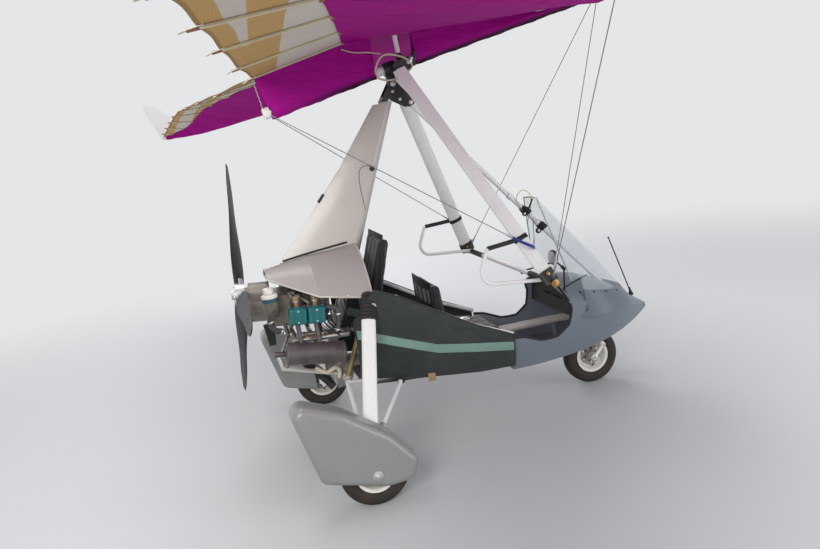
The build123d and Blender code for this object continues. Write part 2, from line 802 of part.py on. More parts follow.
# Steered front fork: stem in the head tube, foot bar, legs and trailing links
fork_half = tyre_width / 2 + 11
fork_leg = 11
crown_rise = head_bottom - 12
knee = (wheelbase + 71, 262)
with BuildPart() as front_fork:
    rod(steer_point(crown_rise), steer_point(head_top + 26), stem_r)
    rod(
        steer_point(crown_rise) + Vector(0, -fork_half - 2 * fork_leg, 0),
        steer_point(crown_rise) + Vector(0, fork_half + 2 * fork_leg, 0),
        fork_leg,
    )
    for side in (-1, 1):
        leg_y = side * (fork_half + fork_leg)
        rod(steer_point(crown_rise) + Vector(0, leg_y, 0), at(knee[0], leg_y, knee[1]), fork_leg - 1)
        rod(at(knee[0] + 6, leg_y, knee[1] - 4), at(wheelbase, leg_y, wheel_z), fork_leg - 2)
        rod(
            at(wheelbase, side * fork_half, wheel_z),
            at(wheelbase, side * (fork_half + 2 * fork_leg), wheel_z),
            21,
        )
    rod(steer_point(head_top + 18) + Vector(0, -190, 0), steer_point(head_top + 18) + Vector(0, 190, 0), 10)
    rod(at(wheelbase, -150, wheel_z), at(wheelbase, 150, wheel_z), axle_r, mode=Mode.SUBTRACT)
front_fork.part.label = "front_fork"

axle_bore_r = 6
with BuildPart() as front_axle:
    rod(
        at(wheelbase, -fork_half - 2 * fork_leg - 8, wheel_z),
        at(wheelbase, fork_half + 2 * fork_leg + 8, wheel_z),
        axle_r,
    )
    rod(at(wheelbase, -150, wheel_z), at(wheelbase, 150, wheel_z), axle_bore_r, mode=Mode.SUBTRACT)
front_axle.part.label = "front_axle"

# Propeller: hub and three twisted blades
hub_r = 66
blade_count = 3
blade_start = 28
blade_stations = [
    # radius, chord, thickness, pitch in degrees
    (50, 70, 40, 45),
    (200, 120, 22, 34),
    (500, 112, 14, 20),
    (prop_r - 10, 60, 8, 12),
]
with BuildPart() as prop_hub:
    rod(on_engine(hub_front), on_engine(-30), hub_r)
    rod(on_engine(-30), on_engine(-52), 30)
    # clamp bosses round the blades' roots
    for number in range(blade_count):
        turn = radians(blade_start + number * 360 / blade_count)
        outward = Vector(0, sin(turn), 0) + rise_dir * cos(turn)
        rod(hub_centre + outward * (hub_r - 20), hub_centre + outward * (hub_r + 24), 26)
prop_hub.part.label = "prop_hub"

with BuildPart() as prop_blades:
    for number in range(blade_count):
        turn = radians(blade_start + number * 360 / blade_count)
        outward = Vector(0, sin(turn), 0) + rise_dir * cos(turn)
        faces = []
        for radius, chord, thickness, pitch in blade_stations:
            lean = radians(pitch)
            chord_dir = outward.cross(thrust_dir) * cos(lean) + thrust_dir * sin(lean)
            station = hub_centre + outward * radius
            with BuildSketch(Plane(origin=station, z_dir=outward, x_dir=chord_dir)) as section:
                Ellipse(chord / 2, thickness / 2)
            faces.append(section.sketch)
        loft(faces)
    add(prop_hub.part, mode=Mode.SUBTRACT)
prop_blades.part.label = "prop_blades"

# Hang block: turns on the bolt, and the keel turns in its sleeve
keel_centre = keel_point(0)
sleeve_r = keel_r + sleeve_wall
with BuildPart() as hang_block:
    rod(keel_point(-sleeve_length / 2), keel_point(sleeve_length / 2), sleeve_r)
    with Locations(hang_point + Vector(0, 0, keel_rise / 2 - 10)):
        Box(44, cheek_gap - 1, keel_rise + 12)
    rod(keel_point(-100), keel_point(100), keel_r + running_gap, mode=Mode.SUBTRACT)
    rod(
        hang_point + Vector(0, -50, 0),
        hang_point + Vector(0, 50, 0),
        hang_bolt_r + running_gap,
        mode=Mode.SUBTRACT,
    )
hang_block.part.label = "hang_block"

# Wing: keel, and two sail halves as lofts across the span
keel_aft = -800
keel_fore = 1510
cap_r = 34
with BuildPart() as keel_cap:
    rod(keel_point(keel_aft - 4), keel_point(keel_aft + 52), cap_r)
    fillet(keel_cap.edges().filter_by(GeomType.CIRCLE), 9)

with BuildPart() as keel:
    rod(keel_point(keel_aft), keel_point(keel_fore), keel_r)
    add(keel_cap.part)
keel.part.label = "keel"

kingpost_r = 14
kingpost_foot = keel_point(76) + Vector(0, 0, keel_r - 4)
kingpost_head = kingpost_foot + Vector(-60, 0, 1000)

sail_t = 14


def under_sheet(x, lead_x, lead_z, trail_x, trail_z, crown):
    """Height of the rear sail's underside at a chordwise place."""
    share = (lead_x - x) / (lead_x - trail_x)
    return lead_z + (trail_z - lead_z) * share + 3.2 * crown * share * (1 - share) - sail_t


wing_stations = [
    # y, leading edge x z, trailing edge x z, undersurface edge x, crown above the chord
    (0, 2165, 2530, -160, 2330, 394, 180),
    (1000, 1622, 2418, -306, 2322, 180, 160),
    (2200, 930, 2288, -462, 2330, -90, 122),
    (3400, 195, 2180, -622, 2318, -370, 76),
    (4300, -385, 2116, -730, 2240, -540, 38),
    (4930, -790, 2120, -825, 2140, -805, 8),
]
for side, name in ((1, "left"), (-1, "right")):
    with BuildPart() as wing:
        for y, lead_x, lead_z, trail_x, trail_z, under_x, crown in wing_stations:
            lead = (main_axle_x + lead_x, lead_z)
            trail = (main_axle_x + trail_x, trail_z)
            shape = (lead_x, lead_z, trail_x, trail_z, crown)
            crest_x = lead_x + (trail_x - lead_x) * 0.35
            crest = (main_axle_x + crest_x, lead_z + (trail_z - lead_z) * 0.35 + crown)
            under = (main_axle_x + under_x, under_sheet(under_x, *shape) - 4)
            half_x = (trail_x + under_x) / 2
            with BuildSketch(Plane.XZ.offset(-side * y)):
                with BuildLine():
                    ThreePointArc(lead, crest, trail)
                    Line(trail, (trail[0], trail[1] - sail_t))
                    ThreePointArc(
                        (trail[0], trail[1] - sail_t),
                        (main_axle_x + half_x, under_sheet(half_x, *shape)),
                        under,
                    )
                    Line(under, (lead[0] - 12, lead[1] - 22))
                    Line((lead[0] - 12, lead[1] - 22), lead)
                make_face()
        loft(ruled=True)
        # room for the keel, the kingpost and the wires' heads
        rod(keel_point(keel_aft - 50), keel_point(keel_fore + 60), keel_r, mode=Mode.SUBTRACT)
        rod(kingpost_foot, kingpost_head, kingpost_r, mode=Mode.SUBTRACT)
    wing.part.label = f"wing_{name}"
    export_step(wing.part, f"parts/wing_{name}.step")
    if side == 1:
        wing_left = wing
    else:
        wing_right = wing

# White fins at the tips, standing on the sail's ends
fin_thick = 20
tip_fin_outline = [
    # x, z, corner radius
    (-795, 2100, 10),
    (-708, 2345, 18),
    (-850, 2484, 90),
    (-tail_reach, 2510, 24),
    (-tail_reach, 2448, 60),
    (-850, 2100, 10),
]
with BuildPart() as winglets:
    for side in (-1, 1):
        with BuildSketch(Plane.XZ.offset(-side * (wing_stations[-1][0] + fin_thick / 2))):
            with BuildLine():
                FilletPolyline(
                    *[(main_axle_x + x, z) for x, z, corner in tip_fin_outline],
                    radius=[corner for x, z, corner in tip_fin_outline],
                    close=True,
                )
            make_face()
        extrude(amount=fin_thick / 2, both=True)
winglets.part.label = "winglets"

# Pocket: the web that hangs the keel under the sail's root
pocket_aft = keel_point(keel_aft + 56)
pocket_fore = keel_point(-80)
with BuildPart() as keel_pocket:
    with BuildSketch(Plane.XZ):
        with BuildLine():
            Polyline(
                (pocket_aft.X, pocket_aft.Z),
                (pocket_aft.X - 30, 2312),
                (main_axle_x + 394, 2400),
                (main_axle_x + 1500, 2452),
                (main_axle_x + 1500, 2425),
                (main_axle_x + hang_x + 160, 2300),
                (main_axle_x + hang_x + 160, 2345),
                (main_axle_x + hang_x - 80, 2320),
                (pocket_fore.X, pocket_fore.Z),
                close=True,
            )
        make_face()
    extrude(amount=20, both=True)
    add(keel.part, mode=Mode.SUBTRACT)
    rod(keel_point(-sleeve_length), keel_point(sleeve_length), sleeve_r + 6, mode=Mode.SUBTRACT)
    rod(kingpost_foot, kingpost_head, kingpost_r, mode=Mode.SUBTRACT)
    add(wing_left.part, mode=Mode.SUBTRACT)
    add(wing_right.part, mode=Mode.SUBTRACT)
keel_pocket.part.label = "keel_pocket"

with BuildPart() as kingpost:
    rod(kingpost_foot, kingpost_head, kingpost_r)
    rod(kingpost_head, kingpost_head + Vector(0, 0, 14), kingpost_r + 8)
    add(keel.part, mode=Mode.SUBTRACT)
kingpost.part.label = "kingpost"

# Control frame: bracket on the keel, two streamlined uprights, base bar, training bars
upright_chord = 85
upright_width = 32
bar_half = 707
bar_x = 1215
bar_z = 936
bar_r = 14
plate_inner = 55
plate_t = 6
upright_head_y = plate_inner + plate_t + upright_width / 2 + 2
upright_head = (hang_x + 40, upright_head_y, hang_z + 72)
with BuildPart() as apex_bracket:
    for side in (-1, 1):
        with BuildSketch(Plane.XZ.offset(-side * (plate_inner + plate_t / 2))):
            with BuildLine():
                Polyline(
                    (hang_point.X + 12, hang_point.Z + 52),
                    (hang_point.X + 70, hang_point.Z + 52),
                    (hang_point.X + 150, hang_point.Z + 85),
                    (hang_point.X + 150, hang_point.Z + 145),
                    (hang_point.X + 110, hang_point.Z + 145),
                    (hang_point.X + 12, hang_point.Z + 110),
                    close=True,
                )
            make_face()
        extrude(amount=plate_t / 2, both=True)
    bolt_reach = Vector(0, plate_inner + plate_t, 0)
    rod(keel_point(118) - bolt_reach, keel_point(118) + bolt_reach, 9)
    add(keel.part, mode=Mode.SUBTRACT)
    add(keel_pocket.part, mode=Mode.SUBTRACT)
apex_bracket.part.label = "apex_bracket"

with BuildPart() as uprights:
    for side in (-1, 1):
        blade_bar(
            at(bar_x, side * bar_half, bar_z),
            at(upright_head[0], side * upright_head[1], upright_head[2]),
            upright_chord,
            upright_width,
        )
    add(apex_bracket.part, mode=Mode.SUBTRACT)
uprights.part.label = "uprights"

with BuildPart() as base_bar:
    rod(at(bar_x, -bar_half - 30, bar_z), at(bar_x, bar_half + 30, bar_z), bar_r)
    add(uprights.part, mode=Mode.SUBTRACT)
base_bar.part.label = "base_bar"

# Knuckles where the uprights meet the base bar
knuckle_wall = 7
with BuildPart() as corner_fittings:
    for side in (-1, 1):
        corner = at(bar_x, side * bar_half, bar_z)
        head = at(upright_head[0], side * upright_head[1], upright_head[2])
        rod(
            at(bar_x, side * (bar_half - 34), bar_z),
            at(bar_x, side * (bar_half + 40), bar_z),
            bar_r + knuckle_wall,
        )
        blade_bar(
            corner,
            corner + (head - corner).normalized() * 78,
            upright_chord + 2 * knuckle_wall,
            upright_width + 2 * knuckle_wall,
        )
    add(uprights.part, mode=Mode.SUBTRACT)
    add(base_bar.part, mode=Mode.SUBTRACT)
corner_fittings.part.label = "corner_fittings"

training_y = 620
training_r = 11
with BuildPart() as training_bars:
    for side in (-1, 1):
        with BuildLine() as route:
            FilletPolyline(
                at(bar_x - 16, side * (bar_half - 60), bar_z + 8),
                at(800, side * training_y, 990),
                at(889, side * training_y, 1184),
                radius=75,
            )
        with BuildSketch(Plane(origin=route.line @ 0, z_dir=route.line % 0)):
            Circle(training_r)
        sweep()
        rod(at(886, side * training_y, 1178), at(1120, side * 590, 1196), 8)
    add(uprights.part, mode=Mode.SUBTRACT)
    add(base_bar.part, mode=Mode.SUBTRACT)
    add(corner_fittings.part, mode=Mode.SUBTRACT)
training_bars.part.label = "training_bars"

kingpost_eye = kingpost_head - Vector(0, 0, 8)

# Main rigging: straight cables under and over the wing
cable_r = 2.5
wire_row = wing_stations[2]
lead_wire_x = wire_row[1] - 60
lead_wire_z = wire_row[2] + 10
with BuildPart() as rigging:
    for side in (-1, 1):
        corner = at(bar_x, side * bar_half, bar_z)
        rod(corner, at(lead_wire_x, side * wire_row[0], lead_wire_z), cable_r)
        rod(corner, keel_point(keel_aft + 30) + Vector(0, side * 20, 0), cable_r)
        rod(corner, keel_point(keel_fore - 60) + Vector(0, side * 16, -8), cable_r)
        # over the wing
        rod(kingpost_eye, at(lead_wire_x + 20, side * wire_row[0], lead_wire_z + 30), cable_r)
    rod(kingpost_eye, at(-110, 0, 2342), cable_r)
    rod(kingpost_eye, keel_point(keel_fore - 110), cable_r)
    for other in (uprights, base_bar, training_bars, keel, wing_left, wing_right, keel_pocket):
        add(other.part, mode=Mode.SUBTRACT)
    for other in (apex_bracket, kingpost, corner_fittings):
        add(other.part, mode=Mode.SUBTRACT)
rigging.part.label = "rigging"

finished = [
    chassis,
    mast,
    hang_bracket,
    front_strut,
    pod,
    windscreen,
    belly_panel,
    side_rails,
    seat_front,
    seat_rear,
    instrument_panel,
    mast_fairing,
    engine_cowl,
    engine,
    rocker_covers,
    carburettors,
    oil_tank,
    silencer,
    radiator,
    aerial,
    front_fork,
    front_axle,
    prop_hub,
    prop_blades,
    hang_block,
    keel,
    keel_pocket,
    kingpost,
    apex_bracket,
    uprights,
    base_bar,
    corner_fittings,
    training_bars,
    rigging,
    winglets,
    drag_rods,
]
for piece in finished:
    export_step(piece.part, f"parts/{piece.part.label}.step")
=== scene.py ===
import math
from random import Random

import bpy
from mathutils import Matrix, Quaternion, Vector


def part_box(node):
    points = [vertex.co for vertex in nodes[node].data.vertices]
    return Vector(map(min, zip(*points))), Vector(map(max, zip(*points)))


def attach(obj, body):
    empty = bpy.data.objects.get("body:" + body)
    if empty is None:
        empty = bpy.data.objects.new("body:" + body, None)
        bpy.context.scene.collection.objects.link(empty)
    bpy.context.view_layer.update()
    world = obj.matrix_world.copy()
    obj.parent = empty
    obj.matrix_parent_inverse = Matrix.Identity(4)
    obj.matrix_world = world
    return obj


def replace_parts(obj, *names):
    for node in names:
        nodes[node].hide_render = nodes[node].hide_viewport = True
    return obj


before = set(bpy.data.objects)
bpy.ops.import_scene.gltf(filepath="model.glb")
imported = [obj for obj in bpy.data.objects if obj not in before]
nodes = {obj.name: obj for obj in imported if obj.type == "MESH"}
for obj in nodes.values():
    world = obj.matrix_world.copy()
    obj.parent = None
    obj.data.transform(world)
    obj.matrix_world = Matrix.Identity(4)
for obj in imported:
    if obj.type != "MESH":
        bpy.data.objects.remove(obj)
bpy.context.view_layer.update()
bpy.context.scene.view_settings.view_transform = "Standard"


# Places. Metres, measured ahead of the main axle, to port, and up from the ground.
def middle(node):
    low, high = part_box(node)
    return (low + high) / 2


axle_x = middle("tyre_left").x


def at(x, y=0.0, z=0.0):
    """A place given by its distance ahead of the main axle."""
    return Vector((axle_x + x, y, z))


NOSE_AXLE = 1.735
AXLE_HEIGHT = 0.190
HALF_TRACK = 0.860
HANG_AHEAD = 0.655
HANG = at(HANG_AHEAD, 0, 2.175)
KEEL_SLOPE = 0.19
KEEL_RISE = 0.091
KEEL_RADIUS = 0.028
KEEL_AHEAD = Vector((1, 0, KEEL_SLOPE)).normalized()


def keel_point(distance):
    """A place on the keel's axis, by its distance ahead of the hang point."""
    return HANG + Vector((0, 0, KEEL_RISE)) + KEEL_AHEAD * distance


KINGPOST_FOOT = keel_point(0.076)
KINGPOST_HEAD = KINGPOST_FOOT + Vector((-0.060, 0, 1.000 + KEEL_RADIUS))


def lerp(first, second, share):
    return first + (second - first) * share


def smooth(low, high, value):
    """0 below the low value, 1 above the high one, with a soft step between."""
    share = min(max((value - low) / (high - low), 0), 1)
    return share * share * (3 - 2 * share)


# Materials
def colour(red, green, blue):
    """A screen colour from 0 to 255 as the light that it stands for."""
    parts = []
    for part in (red, green, blue):
        part = part / 255
        parts.append(part / 12.92 if part <= 0.04045 else ((part + 0.055) / 1.055) ** 2.4)
    return (*parts, 1.0)


class Value:
    """What one socket gives. A sum on it adds Math nodes."""

    def __init__(self, paint, socket):
        self.paint = paint
        self.socket = socket

    def __add__(self, other):
        return self.paint.maths("ADD", self, other)

    __radd__ = __add__

    def __sub__(self, other):
        return self.paint.maths("SUBTRACT", self, other)

    def __rsub__(self, other):
        return self.paint.maths("SUBTRACT", other, self)

    def __mul__(self, other):
        return self.paint.maths("MULTIPLY", self, other)

    __rmul__ = __mul__

    def __gt__(self, other):
        return self.paint.maths("GREATER_THAN", self, other)

    def __lt__(self, other):
        return self.paint.maths("LESS_THAN", self, other)

    def __mod__(self, other):
        return self.paint.maths("FLOORED_MODULO", self, other)

    def __abs__(self):
        return self.paint.maths("ABSOLUTE", self)


class Paint:
    """One material, with its nodes added by name or by sums."""

    def __init__(self, name, **fixed):
        self.material = bpy.data.materials.new(name)
        self.material.use_nodes = True
        self.tree = self.material.node_tree
        self.shader = self.tree.nodes["Principled BSDF"]
        for socket, value in fixed.items():
            self.shader.inputs[socket.replace("_", " ")].default_value = value
        self.spot = self.node("ShaderNodeTexCoord", output="Object")

    def node(self, kind, settings=None, values=None, output=0):
        """Adds a node: first its settings, then what its sockets hold or are linked to."""
        made = self.tree.nodes.new(kind)
        for name, value in (settings or {}).items():
            if name == "stops":
                stops = made.color_ramp.elements
                stops[0].position, stops[0].color = value[0]
                stops[1].position, stops[1].color = value[-1]
                for place, shade in value[1:-1]:
                    stops.new(place).color = shade
            else:
                setattr(made, name, value)
        for socket, value in (values or {}).items():
            self.join(value, made.inputs[socket])
        return Value(self, made.outputs[output])

    def join(self, value, socket):
        if isinstance(value, Value):
            self.tree.links.new(value.socket, socket)
        else:
            socket.default_value = value

    def maths(self, operation, first, second=0.0):
        return self.node("ShaderNodeMath", {"operation": operation}, {0: first, 1: second})

    def mix(self, share, first, second):
        """A colour between two, by a share."""
        return self.node("ShaderNodeMix", {"data_type": "RGBA"}, {0: share, 6: first, 7: second}, 2)

    def step(self, value, low, high):
        """0 below the low value, 1 above the high one."""
        return self.node(
            "ShaderNodeMapRange",
            {"interpolation_type": "SMOOTHSTEP"},
            {"Value": value, "From Min": low, "From Max": high},
        )

    def axes(self, vector=None):
        """The three numbers of a vector, by default the place on the object."""
        parts = self.node("ShaderNodeSeparateXYZ", values={0: vector or self.spot})
        return [Value(self, output) for output in parts.socket.node.outputs]

    def noise(self, scale, detail=3.0, roughness=0.5, stretch=(1, 1, 1)):
        spot = self.node("ShaderNodeMapping", values={"Vector": self.spot, "Scale": stretch})
        return self.node(
            "ShaderNodeTexNoise",
            values={"Vector": spot, "Scale": scale, "Detail": detail, "Roughness": roughness},
        )

    def bump(self, height, depth, under=None):
        """Relief of a depth in metres on the surface."""
        values = {"Height": height, "Strength": 1.0, "Distance": depth}
        if under is not None:
            values["Normal"] = under
        return self.node("ShaderNodeBump", values=values)

    def wear(self, base, dirt, share=0.25, scale=3.0):
        """The base colour with soft mottling and a film of dirt in patches."""
        patches = self.step(self.noise(scale, 5, 0.62), 0.48, 0.78)
        return self.mix(patches * share, base, dirt)

    def set(self, socket, value):
        self.join(value, self.shader.inputs[socket])

    def finish(self, base, roughness, relief):
        """Links what varies over every surface, and gives the material."""
        self.set("Base Color", base)
        self.set("Roughness", roughness)
        self.set("Normal", relief)
        return self.material


def shell(name, shade, dirt, gloss=0.3, share=0.12, seam_at=None):
    """A moulded, painted shell: soft gloss, faint waviness and a little road film."""
    paint = Paint(name, Coat_Weight=0.3, Coat_Roughness=0.15)
    cloud = paint.noise(1.1, 2)
    dark = colour(*[part * 0.96 for part in shade])
    light = colour(*[min(part * 1.03, 255) for part in shade])
    base = paint.mix(cloud, dark, light)
    _, y, height = paint.axes()
    low_film = 1 - paint.step(height, 0.15, 0.6)
    film = paint.step(paint.noise(4, 6, 0.7), 0.5, 0.85) * (low_film * 0.35 + share)
    base = paint.mix(film, base, colour(*dirt))
    flecks = paint.step(paint.noise(130, 2), 0.70, 0.76) * 0.25
    base = paint.mix(flecks, base, colour(*[part * 0.6 for part in shade]))
    relief = paint.bump(paint.noise(110, 2), 0.00008)
    if seam_at is not None:
        groove = 1 - paint.step(abs(abs(y) - seam_at), 0.0008, 0.0018)
        base = paint.mix(groove * 0.7, base, colour(60, 58, 56))
        relief = paint.bump(1 - groove, 0.0012, relief)
    return paint.finish(base, gloss + paint.noise(18, 4) * 0.16, relief)


def enamel(name, shade, gloss=0.32, metallic=0.0, dirt=(70, 60, 48), share=0.22, scale=7.0):
    """Paint or plating on a tube or casting, dull in patches and dirty in its hollows."""
    paint = Paint(name, Metallic=metallic)
    base = paint.wear(colour(*shade), colour(*dirt), share, scale)
    fleck = paint.step(paint.noise(90, 2), 0.62, 0.72) * 0.18
    base = paint.mix(fleck, base, colour(*[part * 0.7 for part in shade]))
    gloss = gloss + paint.noise(30, 5, 0.6) * 0.22
    return paint.finish(base, gloss, paint.bump(paint.noise(240, 3), 0.0001))


def cast(name, shade, gloss=0.42, grain=0.0003):
    """Cast or machined metal with a fine grain and oily patches."""
    paint = Paint(name, Metallic=0.85)
    base = paint.wear(colour(*shade), colour(48, 40, 32), 0.6, 11)
    gloss = gloss + paint.noise(60, 5, 0.65) * 0.25
    return paint.finish(base, gloss, paint.bump(paint.noise(420, 3), grain))


def rubber(name, shade=(34, 32, 31), grain=0.0003):
    """Black rubber or plastic: matt, greyer on its worn ridges."""
    paint = Paint(name)
    worn = paint.step(paint.noise(26, 5, 0.65), 0.5, 0.8)
    base = paint.mix(worn * 0.4, colour(*shade), colour(*[part + 22 for part in shade]))
    return paint.finish(base, 0.6 + paint.noise(60, 3) * 0.2, paint.bump(paint.noise(300, 3), grain))


def tyre_finish(name, middle_y):
    """Tyre: ribbed tread with cross cuts, a plainer wall, patches of dust, and painted shade in the grooves.
    """
    paint = Paint(name)
    x, y, z = paint.axes()
    away = abs(abs(y) - middle_y)
    tread = 1 - paint.step(away, 0.034, 0.040)
    ribs = paint.step(abs((away * 62) % 1 - 0.5), 0.30, 0.40)
    cross_cuts = paint.step(abs(((x + z) * 34) % 1 - 0.5), 0.40, 0.46)
    grooves = paint.maths("MAXIMUM", ribs, cross_cuts * 0.6) * tread
    wall_line = (1 - tread) * paint.step(abs((away * 90) % 1 - 0.5), 0.44, 0.49) * 0.4
    dust = paint.step(paint.noise(14, 5, 0.7), 0.42, 0.75)
    base = paint.mix(dust * 0.5, colour(36, 30, 27), colour(84, 60, 47))
    # painted shade: the tread's grooves are darkened as if shadow lay in them
    base = paint.mix(grooves * 0.7, base, colour(24, 20, 19))
    relief = paint.bump(1 - grooves - wall_line, 0.004, paint.bump(paint.noise(200, 3), 0.0003))
    return paint.finish(base, 0.7 + dust * 0.2, relief)


def weave(paint, pitch, depth, under=None):
    """Relief of crossed threads on a surface, whichever way it faces."""
    x, y, z = paint.axes()
    rows = paint.maths("SINE", (x + y * 0.35) * (2 * math.pi / pitch))
    columns = paint.maths("SINE", (z + y * 0.8) * (2 * math.pi / pitch))
    return paint.bump(rows * columns, depth, under)


def cloth(name, shade, light, sheen=0.3):
    """Coated cloth: fine weave, paler on its folds."""
    paint = Paint(name, Sheen_Weight=sheen, Sheen_Roughness=0.5)
    folds = paint.step(paint.noise(5, 4, 0.6), 0.35, 0.75)
    base = paint.mix(folds * 0.7, colour(*shade), colour(*light))
    wrinkles = paint.bump(paint.noise(16, 4, 0.55), 0.004)
    return paint.finish(base, 0.68 + paint.noise(40, 3) * 0.18, weave(paint, 0.0028, 0.0002, wrinkles))


# The sail's places, by distance from the middle, and its panels
BATTENS = (1.0, 1.85, 2.5, 3.08, 3.62, 4.08, 4.46, 4.76)
SPAN_END = 4.93
PURPLE_CHORD = 0.36
REAR_BAND = 0.075
INNER_TAN = 1.7
STRIPE_TIP = 4.72
TAN_TIP = 4.74
POD_GREY = (106, 115, 126)


def sail_finish():
    """Sailcloth: purple, warm white and tan panels with seams, ripstop squares and soft sags."""
    paint = Paint("sailcloth", Specular_IOR_Level=0.2, IOR=1.12)
    across, behind, _ = paint.axes(paint.node("ShaderNodeUVMap", {"uv_map": "cloth"}))
    x, y, _ = paint.axes()
    x = x - axle_x
    span = abs(y)
    upper = across > 0

    # the stripe of tan cloth, the tan band along the trailing edge, and the tan tip
    behind_white = x < -0.010 - span * 0.0955
    stripe = (x > -0.162 - span * 0.081) * behind_white * (span < STRIPE_TIP)
    tan = paint.maths("MAXIMUM", stripe, behind_white * (span < INNER_TAN))
    tan = paint.maths("MAXIMUM", tan, behind < REAR_BAND)
    tan = upper * paint.maths("MAXIMUM", tan, span > TAN_TIP)
    purple = paint.maths("MAXIMUM", 1 - upper, (across < PURPLE_CHORD) * upper)

    threads = paint.step(abs((y * 110) % 1 - 0.5), 0.40, 0.5)
    squares = paint.maths("MAXIMUM", threads, paint.step(abs((x * 110) % 1 - 0.5), 0.40, 0.5))
    cloud = paint.noise(2.2, 4, 0.55)
    streaks = paint.noise(3.4, 4, 0.6, (0.5, 2.0, 1))
    creases = paint.noise(9, 5, 0.62, (0.6, 1.6, 1))
    white = paint.mix(cloud, colour(206, 198, 190), colour(188, 178, 168))
    straw = paint.mix(squares * 0.55, colour(184, 150, 98), colour(142, 102, 58))
    straw = paint.mix(creases * 0.4, straw, colour(208, 172, 120))
    violet = paint.mix(streaks, colour(166, 14, 136), colour(142, 10, 114))
    violet = paint.mix(squares * 0.12, violet, colour(96, 6, 88))
    shade = paint.mix(tan, white, straw)
    shade = paint.mix(purple, shade, violet)
    seam = 0.0
    for place in BATTENS:
        seam = paint.maths("MAXIMUM", seam, 1 - paint.step(abs(span - place), 0.006, 0.011))
    shade = paint.mix(seam * (1 - upper) * 0.7, shade, colour(70, 4, 66))
    hem = 1 - paint.step(behind, 0.012, 0.016)
    shade = paint.mix(hem * upper * 0.5, shade, colour(120, 92, 60))
    sags = paint.bump(streaks + creases * 0.35, 0.012)
    return paint.finish(shade, 0.62 + cloud * 0.16, paint.bump(seam + hem + squares * 0.05, 0.002, sags))


def pocket_finish():
    """The keel's pocket: purple cloth creased along the keel, with painted shade darkening it almost to black
    where it wraps under the keel.
    """
    paint = Paint("pocket_cloth", Specular_IOR_Level=0.3, IOR=1.25)
    x, _, z = paint.axes()
    ahead = x - axle_x
    creases = paint.noise(7, 5, 0.6, (1, 1, 3.5))
    # painted shade: the cloth under the keel is darkened almost to black, more from the aft end towards the
    # hang point
    under = 1 - paint.step(z - ahead * KEEL_SLOPE, 2.112, 2.150)
    under = under * paint.step(ahead, -0.10, 0.45)
    violet = paint.mix(creases, colour(172, 14, 144), colour(138, 10, 118))
    base = paint.mix(under * 0.94, violet, colour(22, 10, 22))
    relief = paint.bump(creases, 0.010, weave(paint, 0.004, 0.0002))
    return paint.finish(base, 0.46 + creases * 0.16, relief)


# Middle of the side cloth's stripe, as places ahead and up
STRIPE_LINE = ((0.27, 0.7355), (0.579, 0.607), (1.05, 0.511))


def side_cloth_finish():
    """Side cloth: dark green-grey with the mint stripe that dips in the middle."""
    paint = Paint("side_cloth", Sheen_Weight=0.15, Sheen_Roughness=0.5)
    x, _, z = paint.axes()
    x = x - axle_x
    line = 0.0
    for (start_x, start_z), (end_x, end_z) in zip(STRIPE_LINE, STRIPE_LINE[1:]):
        slope = (end_z - start_z) / (end_x - start_x)
        part = start_z + (x - start_x) * slope
        line = part if start_x == STRIPE_LINE[0][0] else line + (part - line) * (x > start_x)
    stripe = 1 - paint.step(abs(z - line), 0.0275, 0.0290)
    folds = paint.step(paint.noise(4, 5, 0.6, (1, 1, 1.6)), 0.35, 0.75)
    scuffs = paint.step(paint.noise(22, 5, 0.7), 0.55, 0.8)
    dark = paint.mix(folds * 0.8, colour(26, 33, 32), colour(46, 53, 52))
    mint = paint.mix(folds * 0.7, colour(116, 148, 136), colour(90, 120, 108))
    shade = paint.mix(stripe, dark, mint)
    base = paint.mix(scuffs * 0.16, shade, colour(96, 98, 90))
    hem = 1 - paint.step(abs(abs(z - line) - 0.031), 0.0010, 0.0022)
    sags = paint.bump(paint.noise(7, 4, 0.6, (1, 1, 1.6)), 0.012)
    relief = paint.bump(stripe + hem * 0.5, 0.0008, sags)
    return paint.finish(base, 0.62 + scuffs * 0.15, weave(paint, 0.003, 0.0002, relief))


def frame_finish():
    """The trike's tubes: pale grey enamel, with the bronze anodised posts behind the seats."""
    paint = Paint("frame_paint")
    x, y, z = paint.axes()
    posts = (x - axle_x < 0.30) * (abs(y) > 0.225) * (abs(y) < 0.276) * (z > 0.53)
    fleck = paint.step(paint.noise(24, 5, 0.7), 0.5, 0.8)
    pale = paint.mix(fleck * 0.35, colour(190, 188, 182), colour(110, 100, 84))
    bronze = paint.mix(fleck * 0.6, colour(146, 128, 88), colour(92, 74, 46))
    paint.set("Metallic", posts * 0.5)
    base = paint.mix(posts, pale, bronze)
    return paint.finish(base, 0.32 + fleck * 0.25, paint.bump(paint.noise(240, 3), 0.0001))


def tank_finish():
    """Oil tank: olive-grey metal, a blue band and a white cap, with a black box below."""
    paint = Paint("oil_tank")
    z = paint.axes()[2]
    grime = paint.step(paint.noise(20, 5, 0.7), 0.45, 0.8)
    box_top, band_low, band_high, cap_low = 0.952, 1.062, 1.082, 1.086
    metal = paint.mix(grime * 0.7, colour(112, 106, 92), colour(52, 44, 36))
    cap = paint.mix(grime * 0.4, colour(226, 222, 214), colour(150, 140, 124))
    shade = paint.mix((z > band_low) * (z < band_high), metal, colour(28, 78, 92))
    shade = paint.mix(z > cap_low, shade, cap)
    base = paint.mix(z < box_top, shade, colour(20, 20, 21))
    return paint.finish(base, 0.36 + grime * 0.3, paint.bump(paint.noise(160, 3), 0.0002))


